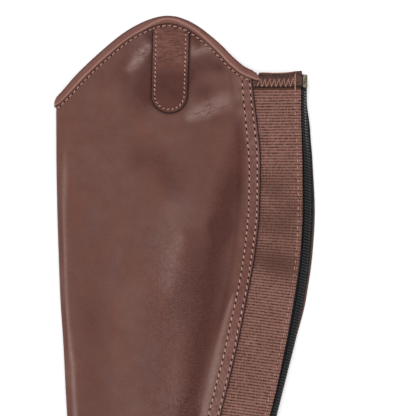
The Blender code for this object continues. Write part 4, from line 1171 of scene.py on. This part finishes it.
def tab_relief(w, h):
    """Rounded cut edge, a groove under the stitches, and wrinkles across its upper part."""
    side = inside_tab(w, h)
    rounded = -0.75 * (1.0 - ease(side / 1.1))
    groove = -0.20 * bell(side - TAB_ROW_IN, 0.7)
    swell = 0.10 * bell(side - 1.5, 0.8)
    upper = ease((h - TAB_WRINKLES_START) / 26.0)
    wrinkles = 0.11 * upper * np.sin(h * 2.0 * math.pi / 2.9 + 3.0 * lumps(w, h, 14.0)) * ease(side / 5.0)
    return rounded + groove + swell + wrinkles + 0.10 * lumps(w, h, 23.0)


def tab_point(w, h, n):
    """A point on the tab: n out from its underside."""
    return leather_point(w, h, LEATHER / 2 + GAP + n + soft_relief(w, h))


def make_tab():
    half = TAB_WIDTH / 2
    across = half * np.sin(np.linspace(-math.pi / 2, math.pi / 2, 49))
    angles = np.linspace(math.radians(86.0), 0.0, 25)[:, None]
    share = np.linspace(0.0, 1.0, 97)[1:, None]
    straight_w = TAB_BOTTOM_CENTRE + (TAB_TOP_CENTRE - TAB_BOTTOM_CENTRE) * share + across
    straight_h = TAB_BOTTOM + half + (tab_top(straight_w) - TAB_BOTTOM - half) * share
    w = np.concatenate((TAB_BOTTOM_CENTRE + np.cos(angles) * across, straight_w))
    h = np.concatenate((TAB_BOTTOM + half - half * np.sin(angles) + 0.0 * across, straight_h))
    outside = tab_point(w, h, TAB_LEATHER + tab_relief(w, h))
    inside = tab_point(w[::4, ::4], h[::4, ::4], 0.0)
    # random tone, then painted shade low on the tab and painted sheen higher up
    shade = 0.22 * lumps(w, h, 18.0)
    for height, half_width, amount in TAB_SHEEN_AND_SHADE:
        shade = shade + amount * bell(h - height, half_width)
    # the dark cut edge is edge paint, drawn wide enough to stand for the painted shadow along the tab's
    # sides too
    values = {"tone_and_painted_light": shade, "edge": 1.0 - ease((inside_tab(w, h) - 0.25) / 0.9),
              "wrinkle": 0.7 * ease((h - TAB_WRINKLES_START - 4.0) / 14.0)}
    piece = shell("stitched_tab", outside, inside, (tab_leather, flesh, edge_paint), values)
    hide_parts("reinforcement_tab")
    return piece


# ---- elastic ----

# Darker places of the elastic: half width in mm, amount, line.
ELASTIC_TONES = (
    (24.0, 0.06, ((278, 100), (280, 160))),
    (22.0, 0.12, ((268, 310), (250, 385))),
    (28.0, 0.30, ((280, 186), (278, 268))),
    (11.0, 0.26, ((260, 180), (276, 190))),
    (15.0, 0.30, ((264, 224), (280, 226), (300, 208))),
    (15.0, 0.46, ((260, 258), (276, 262), (292, 268))),
    (14.0, 0.20, ((236, 470), (250, 480))),
)
ROWS_A_RIB = 8
ELASTIC_COLUMN_COUNT = 41
ELASTIC_WIDTH = 85.0        # stands for its width where irregular values are drawn on it


def guide_point(s, h, n=0.0):
    """A point n out from the zip's guide curve."""
    x, z = zip_point(h, s, n)
    return np.stack(np.broadcast_arrays(x, h, z), axis=-1)


def elastic_s(h, f):
    """Place along the zip's guide for a share f of the elastic's width, from the zip to its hidden edge."""
    start = np.maximum(elastic_at(h), CHAIN_STRAIGHT)
    hidden = along_at(h, seam_x(h) - SEAM_OVERLAP)
    return start + (hidden - start) * f


def elastic_width(h):
    return elastic_s(h, 1.0) - elastic_s(h, 0.0)


def elastic_point(f, v, n):
    """A point of the elastic: share f of its width, v up at the zip, n out from its plain face."""
    h = v + rib_slope(v) * elastic_width(v) * f
    return guide_point(elastic_s(h, f), h, TAPE / 2 + GAP + ELASTIC + n)


def make_elastic():
    f = (np.linspace(0.0, 1.0, ELASTIC_COLUMN_COUNT) ** 1.25)[None, :]
    v = np.linspace(0.0, ELASTIC_TOP, RIB_COUNT * ROWS_A_RIB + 1)[:, None]
    across = ELASTIC_WIDTH * f
    wobble = (0.045 * lumps(across, v, 12.0) + 0.035 * lumps(across, v + 40.0, 4.1)
              + 0.03 * lumps(across * 1.6, v, 2.2))
    turn = 2.0 * math.pi * (v / ELASTIC_TOP * RIB_COUNT + wobble)
    rise = np.clip(0.5 - 0.5 * np.cos(turn), 0.0, 1.0) ** 0.65
    ribs = np.clip(RIB_RISE * rise * (1.0 + 0.12 * lumps(across, v, 5.3)), 0.0, 0.45)
    soft = 0.12 * lumps(across, v, 38.0) * ease(f / 0.15) * (1.0 - f)
    sewn_in = -0.25 * bell(across - 2.9, 0.6) * (1.0 - rise)
    outside = elastic_point(f, v, ribs + soft + sewn_in)
    inside = elastic_point(f[:, ::4], v[::ROWS_A_RIB * 4], -ELASTIC)
    x, h = outside[..., 0], outside[..., 1]
    # darker places, and a painted shadow line along the band's lower edge
    darker_places_and_band_shadow = (0.04 + summed(x, h, ELASTIC_TONES) + 0.05 * lumps(x, h, 33.0)
                + 1.3 * bell(h - BAND_BOTTOM + 0.6, 1.1))
    piece = shell("ribbed_elastic_cloth", outside, inside, (elastic_cloth,),
                  {"crest": rise, "tone_and_painted_light": np.clip(darker_places_and_band_shadow, 0.0, 1.0)}, 80.0)
    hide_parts("elastic_panel")
    return piece


# ---- hem band ----

BAND_HOLLOW = 0.5           # how far its upper edge sags between its ends
BAND_TIP = 1.0              # how far that edge stands up at the zip
BAND_LEFT = {388.0: 49.9, 393.4: 50.8, 399.3: 52.9, 401.0: 53.0}
BAND_LOW = TAPE / 2 + GAP + ELASTIC + RIB_RISE + GAP
band_left = curve_through(BAND_LEFT)


def band_place(across, up):
    """Place along the guide and height of a place on the band, both from 0 to 1."""
    top = BAND_TOP - BAND_HOLLOW * 4.0 * across * (1.0 - across) + BAND_TIP * (1.0 - across) ** 6
    h = BAND_BOTTOM + (top - BAND_BOTTOM) * up
    start = elastic_s(h, 0.0)
    return start + (along_at(h, band_left(h)) - start) * across, h


def band_point(across, up, n):
    """A point of the band, n out from its underside."""
    s, h = band_place(across, up)
    return guide_point(s, h, BAND_LOW + n)


def band_line(across, up, n):
    """Points and normals along a line n out from the band's underside."""
    return surface_line(lambda p, q: band_point(p, q, n), across, up, -1.0)


def make_band():
    across = np.linspace(0.0, 1.0, 49)[None, :]
    up = np.linspace(0.0, 1.0, 21)[:, None]
    edge = ease(np.minimum(up, 1.0 - up) / 0.09)
    n = TRIM * (0.45 + 0.55 * edge) + 0.08 * lumps(across * 33.0, up * 10.0, 5.0)
    outside = band_point(across, up, n - 0.28 * bell(up - 0.72, 0.06))
    inside = band_point(across[:, ::4], up[::4], 0.0)
    # painted shadow along the band's lower edge, and painted shade in the groove below its top edge
    shade = np.clip(1.25 - up / 0.09, 0.0, 1.0) ** 0.5 + 0.4 * bell(up - 0.80, 0.12)
    piece = shell("woven_hem_band", outside, inside, (band_cloth,), {"tone_and_painted_light": shade})
    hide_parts("elastic_hem_band")
    return piece


# ---- zip ----

COIL_PITCH = 2.05
PARTED = 2.0                # from the zip's middle to the tapes' edges under the slider
TAPE_EDGE = {0.0: PARTED, 12.0: PARTED, 17.0: 0.15, 400.0: 0.15}
INNER_TAPE_TOP = TAPE_TOP - 3.0
BOX_MIDDLE = 393.1
BOX_LENGTH = 9.3
CHAIN_BOTTOM = 13.2
CHAIN_TOP = BOX_MIDDLE - BOX_LENGTH / 2 - GAP
tape_edge = curve_through(TAPE_EDGE)


def tape_piece(name, h, s):
    ripple = 0.05 * lumps(*np.broadcast_arrays(s, h), 24.0)
    outside = guide_point(s, h, TAPE / 2 + ripple)
    inside = guide_point(s, h, ripple - TAPE / 2)[::4, ::4]
    return shell(name, outside, inside, (tape_cloth,))


def outer_tape_width(h):
    """From the chain's middle to the bend, to its end and to the edge under the elastic."""
    turned = CHAIN_STRAIGHT + upper_turn(h)
    return np.full(h.shape, CHAIN_STRAIGHT), turned, turned + TAPE_UNDER_ELASTIC


def inner_tape_width(h):
    """The same on the inner side, to the edge on the leather."""
    run = tape_run(h)
    turned = run + bend_radius(h) * (math.pi - np.radians(tilt_degrees(h)))
    return run, turned, turned + TAPE_ON_LEATHER


def make_tapes():
    h = np.linspace(0.0, TAPE_TOP, 201)[:, None]
    outer = tape_piece("outer_zip_tape", h, spaced((tape_edge(h), *outer_tape_width(h)), (5, 6, 5)))
    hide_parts("zip_tape_outer")
    h = np.linspace(0.0, INNER_TAPE_TOP, 201)[:, None]
    inner = tape_piece("inner_zip_tape", h, -spaced((tape_edge(h), *inner_tape_width(h)), (5, 6, 5)))
    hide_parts("zip_tape_inner")
    return outer, inner


def spaced(knots, counts):
    """Columns spread evenly between knots, with the given number in each span."""
    columns = [knots[0]]
    for low, high, count in zip(knots, knots[1:], counts):
        columns += [low + (high - low) * k / count for k in range(1, count + 1)]
    return np.concatenate(columns, axis=1)


def make_coil():
    """One arched rib of nylon for each turn of the closed coils, with a cord under them."""
    turns, cord = Threads(), Threads()
    low = TAPE / 2 + GAP
    half = CHAIN_WIDTH / 2
    t = np.linspace(-1.0, 1.0, 13)
    rise = CHAIN_HEIGHT * np.sqrt(np.clip(1.0 - np.abs(t) ** 3.2, 0.0, 1.0))
    head = 0.55 * bell(t + 0.15, 0.12)
    radius = (0.56 + 0.16 * t ** 2 + 0.06 * head) * np.sqrt(np.clip(1.06 - np.abs(t) ** 6, 0.05, None))
    for k in range(int((CHAIN_TOP - CHAIN_BOTTOM) / COIL_PITCH)):
        middle = CHAIN_BOTTOM + COIL_PITCH * (k + 0.5)
        s = half * 0.94 * t
        h = middle + 0.32 * COIL_PITCH * t + 0.10 * np.sin(math.pi * t)
        _, up = surface_line(guide_point, s, h)
        line = guide_point(s, h, low + 0.12 + (rise - 0.12) * 0.66)
        # the heads are painted pale in the upper part: a painted glint where light catches them
        turns.add(tube(line, up, radius, 0.72), np.repeat(head * ease((middle - 325.0) / 45.0), 8))
    piece = turns.make("coil_turns", coil_nylon, "zip_coil")
    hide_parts("zip_chain")

    h = np.linspace(CHAIN_BOTTOM, CHAIN_TOP, 180)[:, None]
    across = np.array((half - 0.3, half - 0.3, 0.5, -0.5, 0.3 - half, 0.3 - half))
    out = np.array((0.0, 0.35, 0.62, 0.62, 0.35, 0.0))
    cord.add(guide_point(across, h, low + out)[:, ::-1])
    cord.make("coil_cord", tape_cloth, "zip_coil")


def make_film():
    """The stiff film that covers the tape's end beside the box."""
    s = np.linspace(2.4, 3.3, 4)[None, :]
    h = np.linspace(388.4, 396.6, 13)[:, None]
    outside = guide_point(s, h, TAPE / 2 + 0.30)
    inside = guide_point(s, h, TAPE / 2 + 0.05)[::4, ::3]
    return shell("tape_end_film", outside, inside, (film_finish,))


# ---- sewing ----

# Pitch, length and radius of the stitches, and where the rows end.
SEAM_STITCH = (4.6, 2.75, 0.42)
BINDING_STITCH = (3.95, 2.75, 0.41)
TAB_STITCH = (3.2, 2.35, 0.41)
SEAM_ROW_HEIGHTS = (2.5, 394.0)
ELASTIC_ROW_HEIGHTS = (2.0, 386.0)
ABOVE_TAB_ROWS = 436.0
# The elastic's two rows beside the zip: inset, and the stitches' pitch, length and radius.
ELASTIC_ROWS = ((2.3, (4.8, 2.4, 0.31)), (0.9, (4.8, 1.9, 0.16)))
ZIGZAGS = 8


def seam_line(row):
    """Places of a seam row, up to the binding."""
    h = np.linspace(*SEAM_ROW_HEIGHTS, 600)
    w = around(seam_x(h) - row(h), h)
    top = top_edge(w) - (BINDING_OUTER_LEG + 0.9) * edge_stretch(w)
    keep = h < top
    return w[keep], h[keep]


def make_seam_stitches():
    rng = np.random.default_rng(11)
    threads, holes = Threads(), Threads()
    for row in (seam_row_1, seam_row_2):
        line = surface_line(lambda w, h: skin_point(w, h, LEATHER / 2), *seam_line(row))
        sew(threads, holes, line, SEAM_STITCH, rng, pitch_at=seam_pitch)
    return (threads.make("seam_stitches", seam_thread, "leather"),
            holes.make("seam_holes", hole_shade, "leather"))


def binding_row_point(w, h):
    """A point of the face that the row beside the binding lies on: the leather's, or the tab's."""
    on_tab = (np.abs(w - tab_middle(h)) < TAB_WIDTH / 2 - 0.5) & (h > TAB_BOTTOM + TAB_WIDTH / 2)
    n = LEATHER / 2 + np.where(on_tab, GAP + TAB_LEATHER + tab_relief(w, h), sewn_relief(w, h))
    return leather_point(w, h, n + soft_relief(w, h))


def make_binding_stitches():
    rng = np.random.default_rng(12)
    threads, holes = Threads(), Threads()
    start, end = binding_ends()
    for w in (np.linspace(start - 6.0, 0.6, 1200), np.linspace(-FOLD_ARC - 1.0, end, 900)):
        h = top_edge(w) - (binding_leg(w) + ROW_PAST_BINDING) * edge_stretch(w)
        sew(threads, holes, surface_line(binding_row_point, w, h), BINDING_STITCH, rng)
    return (threads.make("binding_stitches", trim_thread, "binding_leather"),
            holes.make("binding_holes", hole_shade, "binding_leather"))


def make_tab_stitches():
    rng = np.random.default_rng(13)
    threads, holes = Threads(), Threads()
    radius = TAB_WIDTH / 2 - TAB_ROW_IN
    centre_h = TAB_BOTTOM + TAB_WIDTH / 2
    down = np.linspace(ABOVE_TAB_ROWS, centre_h, 300)
    angles = np.linspace(math.pi, 2.0 * math.pi, 300)[1:-1]
    w = np.concatenate((tab_middle(down) - radius, TAB_BOTTOM_CENTRE + radius * np.cos(angles),
                        tab_middle(down[::-1]) + radius))
    h = np.concatenate((down, centre_h + radius * np.sin(angles), down[::-1]))
    keep = h < tab_top(w) - 1.9 * edge_stretch(w)
    line = surface_line(lambda a, b: tab_point(a, b, TAB_LEATHER + tab_relief(a, b)), w[keep], h[keep])
    sew(threads, holes, line, TAB_STITCH, rng, slant=0.16)
    return (threads.make("tab_stitches", trim_thread, "leather"),
            holes.make("tab_holes", hole_shade, "leather"))


def make_elastic_stitches():
    rng = np.random.default_rng(14)
    threads = Threads()
    v = np.linspace(*ELASTIC_ROW_HEIGHTS, 900)
    for inset, stitch in ELASTIC_ROWS:
        line = surface_line(lambda f, h: elastic_point(f, h, RIB_RISE - 0.05), inset / elastic_width(v), v,
                            -1.0)
        sew(threads, None, line, stitch, rng, slant=0.12, lift=0.03)
    return threads.make("elastic_edge_stitches", edge_thread, "elastic")


def make_zigzag():
    rng = np.random.default_rng(15)
    threads = Threads()
    t = np.linspace(0.0, 1.0, 9)
    knot = np.linspace(-0.5, 0.5, 5)
    for k in range(ZIGZAGS):
        left = 0.06 + 0.90 * k / ZIGZAGS
        peak, right = left + 0.44 / ZIGZAGS, left + 0.9 / ZIGZAGS
        for a, b, low, high in ((left, peak, 0.02, 0.60), (peak, right, 0.60, 0.02)):
            across = a + (b - a) * t + rng.normal(0.0, 0.004)
            points, normals = band_line(across, low + (high - low) * t, TRIM + 0.1)
            points = points + normals * (0.10 * np.sin(math.pi * t))[:, None]
            width = 0.30 * np.sqrt(np.clip(1.05 - np.abs(2.0 * t - 1.0) ** 4, 0.1, None))
            threads.add(tube(points, normals, width, 0.7), rng.uniform(-1.0, 1.0))
        # the knot where it turns
        line = band_line(left + 0.022 * knot, 0.07 + 0.0 * knot, TRIM + 0.14)
        threads.add(tube(*line, 0.42 * np.sqrt(1.05 - 4.0 * knot ** 2), 0.7), -1.0)
    # the pale line of the band's upper edge
    across = np.linspace(0.04, 0.93, 60)
    line = band_line(across, np.ones(60), TRIM - 0.25)
    threads.add(tube(*line, 0.30 + 0.04 * np.sin(across * 130.0), 0.9), 0.6)
    # the thick thread that ends the zip's seam, over the band near the zip
    h = np.linspace(385.6, 398.6, 30)
    s = elastic_s(h, 0.0) + 1.9 + 0.15 * np.sin(h * 1.1)
    _, normals = surface_line(guide_point, s, h)
    line = guide_point(s, h, BAND_LOW + TRIM + 0.30)
    threads.add(tube(line, normals, 0.42 + 0.05 * np.sin(h * 5.0), 0.8), -0.5)
    return threads.make("band_threads", salmon_thread, "hem_elastic")


# ---- room ----

VIEW_X, VIEW_Y = 16.7, 82.4     # what the middle of the picture shows, in mm of the model's frame
VIEW_WIDTH = 297.4
VIEW_LEVEL = 5.0                # height at which that width is measured
LENS = 200.0
SENSOR = 36.0
FLOOR_HALF = 3.0                # in metres, as all that follow
FLOOR_DROP = 0.0003             # keeps the floor clear of the gaiter's underside
AIM = (0.0, 0.05, 0.0)
LIGHTS = {"key": ((-0.6, 0.7, 1.8), 12.0), "fill": ((1.0, -0.3, 1.8), 5.0)}     # place and power
LIGHT_SIZE = 1.6


def make_camera():
    data = bpy.data.cameras.new("camera")
    data.lens = LENS
    data.sensor_width = SENSOR
    data.clip_end = 20.0
    camera = linked("camera", data)
    camera.location = (VIEW_X * MM, VIEW_Y * MM, (VIEW_WIDTH * LENS / SENSOR + VIEW_LEVEL) * MM)
    bpy.context.scene.camera = camera


def make_floor():
    mesh = bpy.data.meshes.new("floor")
    corners = ((-1.0, -1.0), (1.0, -1.0), (1.0, 1.0), (-1.0, 1.0))
    mesh.from_pydata([(x * FLOOR_HALF, y * FLOOR_HALF, 0.0) for x, y in corners], [], [(0, 1, 2, 3)])
    f = Finish("pale_floor", 0.9, 0.0, 0.0)
    f.colour(f.mix(f.noise(30.0, 2.0), (0.86, 0.86, 0.86, 1.0), (0.88, 0.88, 0.88, 1.0)))
    f.shader.inputs["Emission Color"].default_value = (1.0, 1.0, 1.0, 1.0)
    f.shader.inputs["Emission Strength"].default_value = 0.26
    mesh.materials.append(f.material)
    floor = linked("floor", mesh)
    floor.location.z = -FLOOR_DROP


def make_lights():
    world = bpy.data.worlds.new("studio")
    world.use_nodes = True
    background = world.node_tree.nodes["Background"]
    background.inputs["Color"].default_value = (1.0, 1.0, 1.0, 1.0)
    background.inputs["Strength"].default_value = 0.84
    bpy.context.scene.world = world
    for name, (place, power) in LIGHTS.items():
        data = bpy.data.lights.new(name, "AREA")
        data.size = LIGHT_SIZE
        data.energy = power
        light = linked(name, data)
        light.location = place
        aim = mathutils.Vector(AIM) - light.location
        light.rotation_euler = aim.to_track_quat("-Z", "Y").to_euler()


# ---- the whole gaiter ----

leather = make_leather()
binding = make_binding()
tab = make_tab()
elastic = make_elastic()
band = make_band()
outer_tape, inner_tape = make_tapes()
make_coil()
film = make_film()
seam_stitches, seam_holes = make_seam_stitches()
binding_stitches, binding_holes = make_binding_stitches()
tab_stitches, tab_holes = make_tab_stitches()
elastic_stitches = make_elastic_stitches()
band_threads = make_zigzag()

for node in ("zip_box", "zip_slider", "pull_tab"):
    for slot in frame["nodes"][node].material_slots:
        slot.material = aged_brass

# ---- the flat places of each piece of cloth's rows, in mm, worked out and not kept ----


def declare(piece, held, rests_on, across, up, with_pieces=()):
    """across and up are the flat places, in mm, of the piece's rows."""
    across, up = np.broadcast_arrays(across, up)


declare(leather, "folded", ("floor",), *leather_rows(), (seam_stitches, seam_holes))
v = np.linspace(0.0, ELASTIC_TOP, 200)[:, None]
edges = np.array(((0.0, 1.0),))
declare(elastic, "laid", (leather,), elastic_s(v, edges), v, (elastic_stitches,))
upright = np.linspace(0.0, 1.0, 40)[:, None]
across, up = tab_place(2.0 * edges - 1.0, upright * TAB_LENGTH)
declare(tab, "laid", (leather,), across, up, (tab_stitches, tab_holes))
across, up = band_place(edges, upright)
declare(band, "laid", (elastic,), across, up, (band_threads,))
start, end = binding_ends()
along = np.linspace(start, end, 400)
run = np.concatenate(((0.0,), np.hypot(np.diff(along), np.diff(top_edge(along))).cumsum()))
profile = binding_profile()[:, :2]
strip = np.hypot(*(profile - np.roll(profile, 1, axis=0)).T).sum() / 2 - TRIM
declare(binding, "folded", (leather,), edges * strip, run[:, None], (binding_stitches, binding_holes))
h = np.linspace(0.0, TAPE_TOP, 200)[:, None]
declare(outer_tape, "laid", (leather,), edges * (outer_tape_width(h)[-1] - tape_edge(h)), h, (film,))
h = np.linspace(0.0, INNER_TAPE_TOP, 200)[:, None]
declare(inner_tape, "folded", (leather,), edges * (inner_tape_width(h)[-1] - tape_edge(h)), h)

make_camera()
make_floor()
make_lights()
bpy.context.scene.view_settings.view_transform = "Standard"
